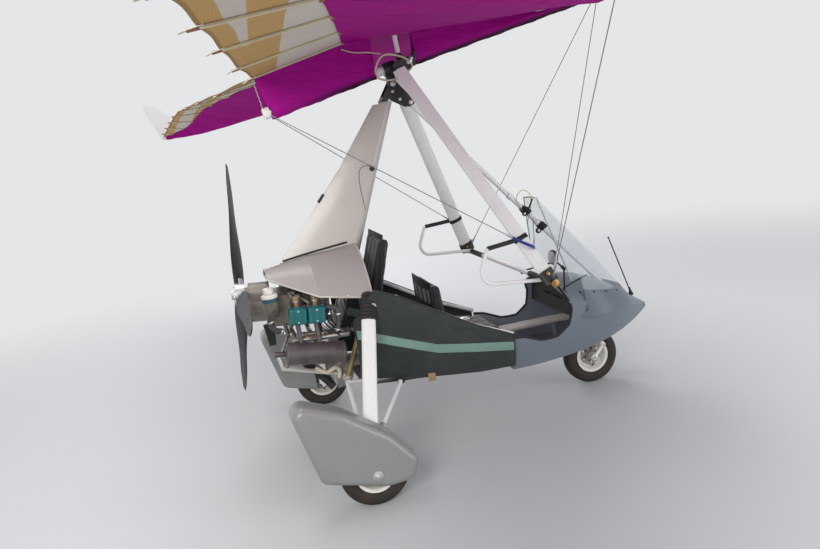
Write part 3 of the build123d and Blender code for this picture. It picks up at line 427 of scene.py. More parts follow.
def rim_finish():
    """Wheel: a pale painted ring round a disc that brake dust has turned brown, with painted shade in its
    slots.
    """
    paint = Paint("rim_paint")
    x, _, z = paint.axes()
    x = x - axle_x
    x = x - (x > NOSE_AXLE / 2) * NOSE_AXLE
    z = z - AXLE_HEIGHT
    radius = paint.maths("SQRT", x * x + z * z)
    turn = paint.maths("ARCTAN2", z, x)
    dust = paint.step(paint.noise(34, 5, 0.7), 0.4, 0.8)
    ring = paint.mix(dust * 0.3, colour(224, 221, 213), colour(150, 132, 112))
    disc = paint.mix(dust * 0.6, colour(158, 146, 138), colour(98, 78, 64))
    inner = 1 - paint.step(radius, 0.073, 0.076)
    slot = 1 - paint.step(abs(radius - 0.045), 0.007, 0.009)
    slot = slot * (paint.maths("SINE", turn * 6) > 0.3)
    # painted shade: the slots are darkened as if shadow lay in them
    base = paint.mix(slot * 0.85, paint.mix(inner, ring, disc), colour(34, 28, 25))
    relief = paint.bump(1 - slot, 0.002, paint.bump(paint.noise(240, 3), 0.0001))
    return paint.finish(base, 0.32 + dust * 0.25, relief)


def screen_finish():
    """Clear sheet with a faint grey tint and fine scratches, painted as the pod below its studs."""
    paint = Paint("clear_sheet", IOR=1.3, Specular_IOR_Level=0.5)
    scratches = paint.step(paint.noise(50, 3, 0.5, (1, 1, 6)), 0.55, 0.8)
    x, _, z = paint.axes()
    aft, height, fall = 1.465, 0.765, 0.222
    clear = paint.step(z + (x - axle_x - aft) * fall, height - 0.001, height + 0.001)
    painted = 1 - clear
    grey = paint.mix(paint.noise(1.1, 2), colour(*POD_GREY), colour(*[part * 0.97 for part in POD_GREY]))
    paint.set("Base Color", paint.mix(clear, grey, colour(210, 222, 228)))
    paint.set("Roughness", (0.05 + scratches * 0.12) * clear + painted * 0.36)
    paint.set("Alpha", (0.16 + scratches * 0.1) * clear + painted)
    return paint.material


finishes = {
    "screen": screen_finish(),
    "sail": sail_finish(),
    "pocket": pocket_finish(),
    "oil_tank": tank_finish(),
    "white_tube": enamel("white_tube", (231, 231, 228), 0.24, share=0.10),
    "frame": frame_finish(),
    "alloy": cast("bare_alloy", (196, 196, 194), 0.3, 0.00012),
    "engine": cast("engine_casting", (154, 147, 139)),
    "black_metal": enamel("black_metal", (30, 30, 32), 0.34, dirt=(90, 84, 76)),
    "brass": enamel("brass_fitting", (176, 138, 84), 0.3, metallic=0.8),
    "pod": shell("pod_shell", POD_GREY, (92, 88, 78)),
    "spat": shell("spat_shell", (134, 135, 133), (100, 94, 84), seam_at=HALF_TRACK),
    "cowl": shell("cowl_shell", (162, 156, 154), (104, 96, 90)),
    "fairing": shell("fairing_shell", (184, 179, 172), (112, 104, 96)),
    "white_shell": shell("white_shell", (206, 206, 208), (164, 160, 152), share=0.06),
    "side_cloth": side_cloth_finish(),
    "panel": cloth("belly_cloth", (30, 34, 34), (48, 52, 52)),
    "seat_cloth": cloth("seat_cloth", (22, 22, 24), (52, 52, 55)),
    "black_rubber": rubber("black_rubber"),
    "main_tyre": tyre_finish("main_tyre", HALF_TRACK),
    "nose_tyre": tyre_finish("nose_tyre", 0.0),
    "cream": enamel("cream_plastic", (206, 196, 170), 0.5, dirt=(130, 112, 84)),
    "batten_pocket": cloth("batten_pocket", (196, 186, 156), (170, 160, 130)),
    "batten_tip": rubber("batten_tip", (132, 88, 62)),
    "white_cord": cloth("white_cord", (212, 208, 198), (180, 174, 160)),
    "yellow_cord": cloth("yellow_cord", (190, 168, 92), (160, 138, 70)),
    "blue_strap": cloth("blue_strap", (26, 42, 120), (40, 60, 150)),
    "black_cord": cloth("black_cord", (26, 26, 28), (44, 44, 46)),
    "hose_grey": rubber("hose_grey", (70, 70, 72)),
    "hose_tan": rubber("hose_tan", (148, 122, 92)),
    "dial": enamel("dial_face", (16, 17, 20), 0.12, share=0.05),
    "dial_white": enamel("dial_mark", (226, 226, 220), 0.4, share=0.02),
    "rubber_edge": rubber("rubber_edge", (24, 24, 25)),
    "fairing_joint": rubber("fairing_joint", (96, 90, 84)),
    "screen_edge": enamel("screen_edge", (176, 196, 186), 0.25, share=0.08),
    "teal": enamel("teal_cover", (16, 98, 102), 0.26, share=0.3, dirt=(30, 50, 48)),
    "silencer": enamel("silencer_steel", (98, 91, 91), 0.38, metallic=0.35, dirt=(58, 46, 38), share=0.6),
    "rim": rim_finish(),
    "prop": enamel("prop_composite", (15, 16, 16), 0.36, share=0.1),
    "cable": cast("stranded_cable", (150, 150, 152), 0.4, 0.0001),
    "silver": cast("silver_hub", (206, 206, 208), 0.26, 0.00008),
}


# Finish of each carried-over solid
CAD_FINISH = {
    "chassis": "frame",
    "mast": "alloy",
    "hang_bracket": "black_metal",
    "front_strut": "white_tube",
    "pod": "pod",
    "windscreen": "screen",
    "side_panel_left": "side_cloth",
    "side_panel_right": "side_cloth",
    "belly_panel": "panel",
    "side_rails": "white_tube",
    "seat_front": "seat_cloth",
    "seat_rear": "seat_cloth",
    "instrument_panel": "black_rubber",
    "mast_fairing": "fairing",
    "engine_cowl": "cowl",
    "engine": "engine",
    "rocker_covers": "teal",
    "carburettors": "black_rubber",
    "oil_tank": "oil_tank",
    "silencer": "silencer",
    "radiator": "black_metal",
    "gear_leg_left": "white_tube",
    "gear_leg_right": "white_tube",
    "drag_rods": "white_tube",
    "spat_left": "spat",
    "spat_right": "spat",
    "aerial": "black_rubber",
    "front_fork": "white_tube",
    "front_axle": "alloy",
    "tyre_front": "nose_tyre",
    "tyre_left": "main_tyre",
    "tyre_right": "main_tyre",
    "rim_front": "rim",
    "rim_left": "rim",
    "rim_right": "rim",
    "prop_hub": "silver",
    "prop_blades": "prop",
    "hang_block": "black_metal",
    "keel": "white_tube",
    "keel_pocket": "pocket",
    "kingpost": "white_tube",
    "apex_bracket": "black_metal",
    "uprights": "white_tube",
    "base_bar": "white_tube",
    "corner_fittings": "black_metal",
    "training_bars": "white_tube",
    "rigging": "cable",
    "wing_left": "sail",
    "wing_right": "sail",
    "winglets": "white_shell",
}
for node, finish in CAD_FINISH.items():
    solid = nodes[node]
    solid.data.materials.clear()
    solid.data.materials.append(finishes[finish])


# Modelling helpers
def deselect():
    bpy.ops.object.select_all(action="DESELECT")


def choose(piece):
    deselect()
    piece.select_set(True)
    bpy.context.view_layer.objects.active = piece


def new_piece(name, verts, faces):
    """A mesh object from places and faces that a formula gives."""
    mesh = bpy.data.meshes.new(name)
    mesh.from_pydata(verts, [], faces)
    piece = bpy.data.objects.new(name, mesh)
    bpy.context.scene.collection.objects.link(piece)
    return piece


def sheet_mesh(name, verts, wide):
    """A sheet from rows of places, each so many places wide, and its area."""
    faces = []
    for row in range(len(verts) // wide - 1):
        for column in range(wide - 1):
            corner = row * wide + column
            faces.append((corner, corner + 1, corner + wide + 1, corner + wide))
    piece = new_piece(name, verts, faces)
    return piece, sum(face.area for face in piece.data.polygons)


def apply(piece, kind, **settings):
    """Adds a modifier and applies it."""
    choose(piece)
    modifier = piece.modifiers.new(kind.title(), kind)
    for name, value in settings.items():
        setattr(modifier, name, value)
    bpy.ops.object.modifier_apply(modifier=modifier.name)


def outward(piece):
    choose(piece)
    bpy.ops.object.mode_set(mode="EDIT")
    bpy.ops.mesh.select_all(action="SELECT")
    bpy.ops.mesh.normals_make_consistent(inside=False)
    bpy.ops.object.mode_set(mode="OBJECT")


def finish_piece(piece, body, finish, angle=35):
    """Applies the place, smooths, paints, and lets the piece move with its body."""
    choose(piece)
    bpy.ops.object.transform_apply(location=True, rotation=True, scale=True)
    bpy.ops.object.shade_smooth_by_angle(angle=math.radians(angle))
    piece.data.materials.clear()
    piece.data.materials.append(finishes[finish])
    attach(piece, body)
    return piece


# Sail: one sheet on each side, wrapped round the leading edge
WING = [
    # span, leading edge x z, trailing edge x z, undersurface's edge x, crown above the chord
    (0.0, 2.165, 2.530, -0.160, 2.330, 0.394, 0.180),
    (1.0, 1.622, 2.418, -0.306, 2.322, 0.180, 0.160),
    (2.2, 0.930, 2.288, -0.462, 2.330, -0.090, 0.122),
    (3.4, 0.195, 2.180, -0.622, 2.318, -0.370, 0.076),
    (4.3, -0.385, 2.116, -0.730, 2.240, -0.540, 0.038),
    (4.93, -0.790, 2.120, -0.825, 2.140, -0.805, 0.008),
]
LEAD_ROUND = 0.022
NOSE_WRAP = 0.012
SAIL_THICK = 0.003
INSIDE = 9.0


def wing_at(y):
    """The wing's section at a place along the span, smooth through the table's rows."""
    last = len(WING) - 2
    row = next((i for i in range(last + 1) if y <= WING[i + 1][0]), last)
    share = (y - WING[row][0]) / (WING[row + 1][0] - WING[row][0])
    section = []
    for column in range(1, 7):
        ends = [WING[min(max(row + step, 0), last + 1)] for step in (-1, 0, 1, 2)]
        gap = ends[2][0] - ends[1][0]
        slopes = []
        for before, after in ((ends[0], ends[2]), (ends[1], ends[3])):
            slopes.append((after[column] - before[column]) / (after[0] - before[0]) * gap)
        start, end = ends[1][column], ends[2][column]
        square, cube = share**2, share**3
        section.append(
            start * (2 * cube - 3 * square + 1)
            + slopes[0] * (cube - 2 * square + share)
            + end * (3 * square - 2 * cube)
            + slopes[1] * (cube - square)
        )
    return section


def bay_rise(y):
    """0 at a batten and 1 midway between two."""
    for inner, outer in zip((0.0,) + BATTENS, BATTENS + (SPAN_END,)):
        if inner <= y <= outer:
            return math.sin(math.pi * (y - inner) / (outer - inner)) ** 2
    return 0.0


def upper_place(y, share):
    """A place on the upper cloth, by its share of the chord from the leading edge."""
    lead_x, lead_z, trail_x, trail_z, _, crown = wing_at(y)
    swell = bay_rise(y) * smooth(0.45, 1.0, share)
    x = lerp(lead_x, trail_x + 0.004 * swell * min(1, 5 * (SPAN_END - y)), share)
    arch = crown * 1.8 * math.tanh(share / 0.3) * (1 - share)
    return at(x, y, lerp(lead_z, trail_z, share) + arch + 0.007 * swell)


def under_place(y, share):
    """A place on the undersurface, by its share of the way back from the leading edge."""
    lead_x, lead_z, trail_x, _, under_x, _ = wing_at(y)
    chord_share = (lead_x - under_x) / max(lead_x - trail_x, 0.001)
    end = upper_place(y, min(chord_share, 0.995)) - Vector((0, 0, 2.5 * SAIL_THICK))
    start = at(lead_x - NOSE_WRAP, y, lead_z - LEAD_ROUND)
    sag = (0.010 * bay_rise(y) + 0.012) * math.sin(math.pi * share)
    return lerp(start, end, share) - Vector((0, 0, sag))


def build_sail(name, side, node):
    """Cloth from the undersurface's loose edge, round the leading edge, to the trailing edge."""
    spans = []
    for inner, outer in zip((0.004,) + BATTENS, BATTENS + (SPAN_END,)):
        spans += [lerp(inner, outer, step / 8) for step in range(8)]
    spans.append(SPAN_END)
    strip = [step / 16 - 1 for step in range(16)] + [(step / 34) ** 1.15 for step in range(35)]
    verts = []
    for y in spans:
        for share in strip:
            place = under_place(y, -share) if share < 0 else upper_place(y, share)
            verts.append((place.x, side * place.y, place.z))
    piece, area = sheet_mesh(name, verts, len(strip))
    # each point keeps its share of the chord, below 0 on the undersurface, and its way to the rear edge
    layer = piece.data.uv_layers.new(name="cloth")
    tails = [upper_place(y, 1.0).x for y in spans]
    for loop in piece.data.loops:
        row, column = divmod(loop.vertex_index, len(strip))
        share = strip[column]
        behind = abs(piece.data.vertices[loop.vertex_index].co.x - tails[row])
        layer.data[loop.index].uv = (share if share else 0.001, behind if share > 0.5 else INSIDE)
    outward(piece)
    apply(piece, "SOLIDIFY", thickness=SAIL_THICK, offset=-1.0)
    finish_piece(piece, "wing", "sail", 60)
    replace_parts(piece, node)
    return piece


build_sail("sail_left", 1, "wing_left")
build_sail("sail_right", -1, "wing_right")


# Modelling helpers for small pieces
SEAM_GAP = 0.00002


def rounded(places, steps=6):
    """The same line of places, rounded where it turns."""
    places = [Vector(place) for place in places]
    line = []
    for index in range(len(places) - 1):
        start, end = places[index : index + 2]
        before = places[max(index - 1, 0)]
        after = places[min(index + 2, len(places) - 1)]
        for step in range(steps):
            part = step / steps
            line.append(
                start
                + (end - before) * (part / 2)
                + (before * 2 - start * 5 + end * 4 - after) * (part**2 / 2)
                + (start * 3 - before - end * 3 + after) * (part**3 / 2)
            )
    return line + [places[-1]]


def tube(places, radius, sides=3, closed=False):
    """A hose, line, rod or bead along places."""
    line = bpy.data.curves.new("tube", "CURVE")
    line.dimensions = "3D"
    line.bevel_depth = radius
    line.bevel_resolution = sides
    line.use_fill_caps = not closed
    run = line.splines.new("POLY")
    run.points.add(len(places) - 1)
    for point, place in zip(run.points, places):
        point.co = (*place, 1)
    run.use_cyclic_u = closed
    piece = bpy.data.objects.new("tube", line)
    bpy.context.scene.collection.objects.link(piece)
    choose(piece)
    bpy.ops.object.convert(target="MESH")
    return bpy.context.object


def hose(places, radius, sides=3, steps=6):
    """A rounded hose or line through places ahead of the main axle."""
    return tube(rounded([at(*place) for place in places], steps), radius, sides)


def oval(centre, long, wide, steps):
    """Places round an oval, from its two half-widths."""
    turns = [2 * math.pi * step / steps for step in range(steps)]
    return [centre + long * math.cos(turn) + wide * math.sin(turn) for turn in turns]


def drum(place, axis, radius, depth, sides=24, edge=0.001):
    """A disc, washer, nut or boss with eased rims."""
    deselect()
    turn = Vector(axis).to_track_quat("Z", "Y").to_euler()
    bpy.ops.mesh.primitive_cylinder_add(
        vertices=sides, radius=radius, depth=depth, location=place, rotation=turn
    )
    piece = bpy.context.object
    apply(piece, "BEVEL", width=edge, segments=2, limit_method="ANGLE")
    return piece


def block(place, size, fore=(1, 0, 0), edge=0.002):
    """A plate or box with eased edges, its length towards one side."""
    deselect()
    turn = Vector(fore).to_track_quat("X", "Z").to_euler()
    bpy.ops.mesh.primitive_cube_add(size=1, location=place, rotation=turn)
    piece = bpy.context.object
    piece.scale = size
    bpy.ops.object.transform_apply(location=False, rotation=False, scale=True)
    apply(piece, "BEVEL", width=edge, segments=2, limit_method="ANGLE")
    return piece


def strap(places, across, width, thick=0.002):
    """A band of webbing or cloth along places, its width towards one side."""
    half = Vector(across).normalized() * (width / 2)
    verts = []
    for place in places:
        verts += [place - half, place + half]
    faces = [(2 * i, 2 * i + 1, 2 * i + 3, 2 * i + 2) for i in range(len(places) - 1)]
    piece = new_piece("strap", verts, faces)
    apply(piece, "SOLIDIFY", thickness=thick, offset=0)
    apply(piece, "BEVEL", width=thick * 0.3, segments=2, limit_method="ANGLE")
    return piece


def copied(model, place, axis=(0, 0, 1), scale=1.0):
    """A copy, with its own mesh, of a piece that was modelled at the centre, along Z."""
    piece = model.copy()
    piece.data = model.data.copy()
    bpy.context.scene.collection.objects.link(piece)
    piece.location = place
    piece.rotation_euler = Vector(axis).to_track_quat("Z", "Y").to_euler()
    piece.scale = (scale, scale, scale)
    return piece


def join(pieces):
    """Makes one mesh of several."""
    deselect()
    for piece in pieces:
        piece.select_set(True)
    bpy.context.view_layer.objects.active = pieces[0]
    if len(pieces) > 1:
        bpy.ops.object.join()
    return bpy.context.object


def merge(name, pieces, body, finish, angle=35):
    """Joins pieces of one finish, closes their seams, and finishes them as one."""
    whole = join(pieces)
    whole.name = name
    bpy.ops.object.mode_set(mode="EDIT")
    bpy.ops.mesh.select_all(action="SELECT")
    bpy.ops.mesh.remove_doubles(threshold=SEAM_GAP)
    bpy.ops.mesh.normals_make_consistent(inside=False)
    bpy.ops.object.mode_set(mode="OBJECT")
    return finish_piece(whole, body, finish, angle)


def on_node(node, place):
    """The nearest place on a node's surface, and the way it faces."""
    _, spot, normal, _ = nodes[node].closest_point_on_mesh(place)
    return spot, normal


def mirrored(places, side):
    """The same places on the port side, 1, or the starboard side, -1."""
    return [Vector((place.x, side * place.y, place.z)) for place in places]


# A bolt of one unit of radius: washer, six-sided head and thread's end
BOLT = join(
    [
        drum((0, 0, 0.15), (0, 0, 1), 1.4, 0.3, 20, 0.06),
        drum((0, 0, 0.70), (0, 0, 1), 1.0, 0.8, 6, 0.10),
        drum((0, 0, 1.15), (0, 0, 1), 0.55, 0.4, 14, 0.08),
    ]
)
# A flat dark stud of one unit of radius, with a domed rim
STUD = join(
    [
        drum((0, 0, 0.12), (0, 0, 1), 1.0, 0.5, 24, 0.2),
        drum((0, 0, 0.35), (0, 0, 1), 0.4, 0.2, 14, 0.06),
    ]
)


def bolts(places, model=BOLT):
    """Bolts or studs, each given by its place, its axis and its radius."""
    return [copied(model, place, axis, size) for place, axis, size in places]


# Battens: pockets under the upper cloth, their ends, and the cords that hold them
def build_battens():
    strips, tips, cords = [], [], []
    for y in (0.030,) + BATTENS:
        lead_x, _, trail_x, _, under_x, _ = wing_at(y)
        first = (lead_x - under_x) / (lead_x - trail_x)
        run = []
        for step in range(17):
            place = upper_place(y, lerp(first - 0.003, 0.995, step / 16))
            run.append(place - Vector((0, 0, 0.0085)))
        tail = (run[-1] - run[-2]).normalized()
        for side in (1, -1):
            line = mirrored(run, side)
            back = Vector((tail.x, 0, tail.z))
            strips.append(strap(line, (0, 1, 0), 0.024, 0.010))
            tips.append(drum(line[-1] + back * 0.016, back, 0.0068, 0.040, 14, 0.002))
            tips.append(drum(line[0] + Vector((0.002, 0, -0.002)), (1, 0, 0.1), 0.0085, 0.018, 14, 0.003))
            end = line[-1] + back * 0.034
            loop = [end, end + back * 0.022 + Vector((0, side * 0.004, -0.004))]
            loop.append(end + back * 0.014 + Vector((0, side * 0.012, 0)))
            loop.append(line[-1] + Vector((0.012, side * 0.016, 0.006)))
            cords.append(tube(rounded(loop, 5), 0.0026, 2))
    merge("batten_pockets", strips, "wing", "batten_pocket")
    merge("batten_tips", tips, "wing", "batten_tip")
    merge("batten_cords", cords, "wing", "white_cord")


# Keel's pocket: cloth wrapped under the keel and sewn to the sail's root
POCKET_RADIUS = 0.0335
POCKET_PARTS = (
    # name, aft end, fore end
    ("keel_pocket_aft", -0.150, 0.566),
    ("keel_pocket_fore", 0.818, 2.060),
)


def keel_height(x):
    return HANG.z + KEEL_RISE + KEEL_SLOPE * (x - HANG_AHEAD)


def root_cloth(x):
    """Height of the sail's lowest cloth beside the keel."""
    lead_x, _, trail_x, _, under_x, _ = wing_at(0.01)
    if x < under_x:
        return upper_place(0.01, (lead_x - x) / (lead_x - trail_x)).z - SAIL_THICK
    start = lead_x - NOSE_WRAP
    return under_place(0.01, (start - x) / (start - under_x)).z


def build_pocket(name, start, end):
    """Cloth down one side of the keel, round under it and up the other, with small folds."""
    rows = 70
    verts = []
    for row in range(rows):
        x = lerp(start, end, row / (rows - 1))
        axis_z = keel_height(x)
        top = max(root_cloth(x) + 0.004, axis_z + 0.010)
        section = []
        for step in range(6):
            share = step / 6
            section.append((lerp(0.011, POCKET_RADIUS, smooth(0, 1, share)), lerp(top, axis_z, share)))
        for step in range(9):
            turn = math.pi * step / 16
            section.append((POCKET_RADIUS * math.cos(turn), axis_z - POCKET_RADIUS * math.sin(turn)))
        ring = section + [(-y, z) for y, z in section[-2::-1]]
        for number, (y, z) in enumerate(ring):
            fold = 0.0022 * math.sin(26 * x + 0.7 * number) + 0.0013 * math.sin(57 * x - 1.1 * number)
            loose = math.sin(math.pi * number / (len(ring) - 1))
            out = Vector((y, z - axis_z)).normalized() * max(fold, -0.0012) * (0.3 + loose)
            drop = (top - z) / (top - axis_z + POCKET_RADIUS)
            slant = 0.066 * drop * (1 - row / (rows - 1)) if start < 0 else 0
            verts.append(at(x + slant, y + out.x, z + out.y))
    piece, area = sheet_mesh(name, verts, len(verts) // rows)
    outward(piece)
    apply(piece, "SOLIDIFY", thickness=0.0015, offset=1.0)
    apply(piece, "SUBSURF", levels=1, render_levels=1)
    finish_piece(piece, "wing", "pocket", 60)
    return piece


# Middle of the backup loop, as places ahead and up
BACKUP_LOOP = (
    (0.564, 2.216),
    (0.556, 2.269),
    (0.602, 2.335),
    (0.663, 2.341),
    (0.736, 2.313),
    (0.772, 2.280),
    (0.776, 2.248),
    (0.700, 2.205),
    (0.620, 2.196),
)


def build_keel_details():
    for index, part in enumerate(POCKET_PARTS):
        piece = build_pocket(*part)
        if index == 0:
            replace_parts(piece, "keel_pocket")
    # lacing down the pocket's aft edge to the keel's cap
    x = POCKET_PARTS[0][1]
    top, low = root_cloth(x) - 0.004, keel_height(x) + 0.014
    lace = []
    for step in range(15):
        z = lerp(top, low, step / 14)
        across = 0.020 if step % 2 else -0.020
        lace.append(at(x - 0.008 + 0.030 * step / 14, across * (1 - 0.4 * step / 14), z))
    merge("pocket_lacing", [tube(rounded(lace, 3), 0.0022, 2)], "wing", "white_cord")
    # hems of the pocket where the hang block needs room
    hems = []
    hem_radius = POCKET_RADIUS + 0.0025
    turns = [math.pi * (step - 9) / 14 for step in range(19)]
    for x in (-0.086, POCKET_PARTS[0][2], POCKET_PARTS[1][1]):
        low = keel_height(x)
        ring = [at(x, hem_radius * math.sin(turn), low - hem_radius * math.cos(turn)) for turn in turns]
        hems.append(tube(ring, 0.0026, 2))
    merge("pocket_hems", hems, "wing", "black_cord")
    # backup loop of webbing beside the hang bracket, with its cord
    loop = [(x, -0.068, z) for x, z in BACKUP_LOOP]
    merge("backup_loop", [hose(loop + loop[:1], 0.0060)], "wing", "batten_pocket")
    cord = [(0.383, -0.020, 2.412), (0.45, -0.045, 2.383), (0.53, -0.052, 2.372), (0.605, -0.060, 2.352)]
    merge("loop_cord", [hose(cord, 0.0035, 2)], "wing", "batten_pocket")
    knob_lean = (0.15, 0, 1)
    knob = [drum(at(0.806, -0.044, 2.318), knob_lean, 0.013, 0.058, 18, 0.005)]
    knob.append(drum(at(0.806, -0.044, 2.286), knob_lean, 0.007, 0.012, 14, 0.002))
    merge("pitch_knob", knob, "wing", "black_rubber")
    places = []
    for side in (1, -1):
        cheek = Vector((0, side * 0.061, 0))
        places.append((keel_point(0.118) + cheek, (0, side, 0), 0.013))
        for x, z in ((0.040, 0.070), (0.128, 0.128)):
            places.append((HANG + Vector((x, 0, z)) + cheek, (0, side, 0), 0.008))
    merge("apex_bolts", bolts(places), "wing", "silver")


# Side cloth: one stretched sheet on each side, with bound edges
PANEL = (
    # x, lower z y, upper z y, bulge
    (0.110, 0.520, 0.318, 0.880, 0.372, 0.018),
    (0.254, 0.492, 0.326, 1.040, 0.378, 0.022),
    (0.400, 0.452, 0.330, 0.968, 0.392, 0.026),
    (0.829, 0.388, 0.330, 0.700, 0.392, 0.022),
    (1.062, 0.372, 0.330, 0.585, 0.388, 0.010),
)


def cloth_place(side, x, share):
    """A place on the side cloth, by its share of the way up."""
    row = next(i for i in range(1, len(PANEL)) if x <= PANEL[i][0] or i == len(PANEL) - 1)
    part = (x - PANEL[row - 1][0]) / (PANEL[row][0] - PANEL[row - 1][0])
    low_z, low_y, high_z, high_y, bulge = [
        lerp(first, second, part) for first, second in zip(PANEL[row - 1][1:], PANEL[row][1:])
    ]
    out = 0.006 + 4 * bulge * share * (1 - share)
    crease = 0.0022 * math.sin(13 * x + 9 * share) + 0.0012 * math.sin(31 * x - 17 * share)
    reach = (x - PANEL[0][0]) / (PANEL[-1][0] - PANEL[0][0])
    slack = math.sin(math.pi * share) * math.sin(math.pi * reach)
    y = lerp(low_y, high_y, share) + out + crease * slack
    return at(x, side * y, lerp(low_z, high_z, share))


def build_side_cloth(side, name, node):
    columns, rows = 56, 26
    xs = [lerp(PANEL[0][0], PANEL[-1][0], step / columns) for step in range(columns + 1)]
    verts = [cloth_place(side, x, step / rows) for x in xs for step in range(rows + 1)]
    piece, area = sheet_mesh(name, verts, rows + 1)
    outward(piece)
    apply(piece, "SOLIDIFY", thickness=0.003, offset=0)
    finish_piece(piece, "trike", "side_cloth", 60)
    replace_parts(piece, node)
    edge = [cloth_place(side, x, 0) for x in xs]
    edge += [cloth_place(side, xs[-1], step / 8) for step in range(1, 8)]
    edge += [cloth_place(side, x, 1) for x in reversed(xs)]
    edge += [cloth_place(side, xs[0], 1 - step / 8) for step in range(1, 8)]
    merge(name + "_binding", [tube(edge, 0.0055, 3, True)], "trike", "black_cord")


# Seats: stuffed pads on thin pans, with sewn channels and lap belts
SEAT_PADS = (
    # name, node, half-width, aft run and fore run, each as its low and its high x z, swell
    (
        ("front_base", "seat_front", 0.205),
        ((0.755, 0.552), (0.755, 0.600)),
        ((1.070, 0.545), (1.070, 0.580)),
        0.012,
    ),
    (
        ("front_back", "seat_front", 0.198),
        ((0.648, 0.580), (0.648, 0.950)),
        ((0.730, 0.605), (0.688, 0.950)),
        0.014,
    ),
    (
        ("rear_base", "seat_rear", 0.192),
        ((0.262, 0.562), (0.262, 0.646)),
        ((0.612, 0.555), (0.612, 0.606)),
        0.014,
    ),
    (
        ("rear_back", "seat_rear", 0.186),
        ((0.262, 0.930), (0.402, 1.300)),
        ((0.262, 0.690), (0.436, 1.288)),
        0.014,
    ),
)
PAD_VOXEL = 0.009
PAD_PRESSURE = 3.0
PAD_FRAMES = 16


def build_pad(name, half, aft, fore, swell):
    """A cushion: a block between two runs, remeshed, swollen, and pulled in along its channels."""
    aft, fore = ([Vector(place) for place in run] for run in (aft, fore))
    centre = sum(aft + fore, Vector((0, 0))) / 4
    deselect()
    bpy.ops.mesh.primitive_cube_add(size=1, location=(0, 0, 0))
    piece = bpy.context.object
    piece.name = "pad_" + name
    bpy.ops.object.mode_set(mode="EDIT")
    bpy.ops.mesh.select_all(action="SELECT")
    bpy.ops.mesh.subdivide(number_cuts=7)
    bpy.ops.object.mode_set(mode="OBJECT")
    for vertex in piece.data.vertices:
        along, across, up = (part + 0.5 for part in vertex.co)
        spot = aft[0].lerp(fore[0], along).lerp(aft[1].lerp(fore[1], along), up)
        spot += (centre - spot).normalized() * swell * 0.4
        vertex.co = at(spot.x, lerp(-half, half, across) * 0.985, spot.y)
    choose(piece)
    piece.data.remesh_voxel_size = PAD_VOXEL
    bpy.ops.object.voxel_remesh()
    before = [vertex.co.copy() for vertex in piece.data.vertices]
    stuffing = piece.modifiers.new("Cloth", "CLOTH")
    stuffing.settings.use_pressure = True
    stuffing.settings.uniform_pressure_force = PAD_PRESSURE
    stuffing.settings.effector_weights.gravity = 0
    for number in range(1, PAD_FRAMES + 1):
        bpy.context.scene.frame_set(number)
    choose(piece)
    bpy.ops.object.modifier_apply(modifier=stuffing.name)
    for vertex, place in zip(piece.data.vertices, before):
        moved = vertex.co - place
        if moved.length > swell:
            vertex.co = place + moved.normalized() * swell
    for vertex in piece.data.vertices:
        pull = 0.0
        for y in (-0.5, 0.0, 0.5):
            pull = max(pull, math.exp(-(((vertex.co.y / half - y) * half / 0.008) ** 2)))
        vertex.co -= vertex.normal * 0.005 * pull
    apply(piece, "SUBSURF", levels=1, render_levels=1)
    finish_piece(piece, "trike", "seat_cloth", 60)
    return piece


def build_seats():
    replaced = set()
    for (name, node, half), aft, fore, swell in SEAT_PADS:
        piece = build_pad(name, half, aft, fore, swell)
        if node not in replaced:
            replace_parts(piece, node)
            replaced.add(node)
    pans = []
    for front, base, back, width in (
        ((1.080, 0.546), (0.640, 0.5475), (0.640, 0.965), 0.412),
        ((0.620, 0.552), (0.255, 0.5565), (0.402, 1.312), 0.380),
    ):
        low, high = Vector(base), Vector(back)
        run = [Vector(front), low + Vector((0.03, 0)), low + Vector((0, 0.03)), low.lerp(high, 0.5), high]
        run = [at(x, 0, z) for x, z in run]
        pans.append(strap(rounded(run, 8), (0, 1, 0), width, 0.006))
    merge("seat_pans", pans, "trike", "black_rubber")
    belts, buckles = [], []
    for x, z, half in ((0.86, 0.612, 0.215), (0.40, 0.655, 0.20)):
        lap = [at(x - 0.10, -half - 0.005, z - 0.06), at(x - 0.08, -half + 0.01, z + 0.002)]
        lap += [at(x, -0.10, z + 0.018), at(x + 0.03, 0, z + 0.020), at(x, 0.10, z + 0.018)]
        lap += [at(x - 0.08, half - 0.01, z + 0.002), at(x - 0.10, half + 0.005, z - 0.06)]
        belts.append(strap(rounded(lap, 6), (1, 0, 0.15), 0.045, 0.0022))
        buckles.append(block(at(x + 0.03, 0, z + 0.026), (0.050, 0.062, 0.012), (1, 0, 0), 0.003))
        buckles.append(block(at(x + 0.03, 0, z + 0.033), (0.026, 0.026, 0.008), (1, 0, 0), 0.002))
    merge("lap_belts", belts, "trike", "black_cord")
    merge("belt_buckles", buckles, "trike", "silver")


# Cockpit: binding round the pod's opening, dials, screen edge, studs, stays and mirror
POD_RIM = (
    # x, z of the pod's cut edge, seen from the side
    (1.073, 0.553),
    (1.140, 0.5425),
    (1.200, 0.516),
    (1.260, 0.489),
    (1.310, 0.485),
    (1.370, 0.485),
    (1.414, 0.512),
    (1.457, 0.543),
    (1.472, 0.590),
    (1.4835, 0.640),
    (1.478, 0.672),
    (1.473, 0.701),
)
DIALS = (
    # y, rise above the panel's middle, radius
    (-0.20, 0.028, 0.026),
    (-0.12, 0.046, 0.032),
    (0.00, 0.054, 0.038),
    (0.12, 0.046, 0.032),
    (0.20, 0.028, 0.026),
)
SCREEN_STUDS = (
    # x, y and z near the row where the screen meets the pod
    (1.4946, 0.2692, 0.7342),
    (1.5919, 0.2656, 0.7122),
    (1.6661, 0.3108, 0.7069),
    (1.7571, 0.2959, 0.6881),
    (1.8554, 0.2511, 0.6649),
)
MIRROR = (1.377, -0.400, 1.003)
MIRROR_FACE = (-0.95, -0.2, 0.1)


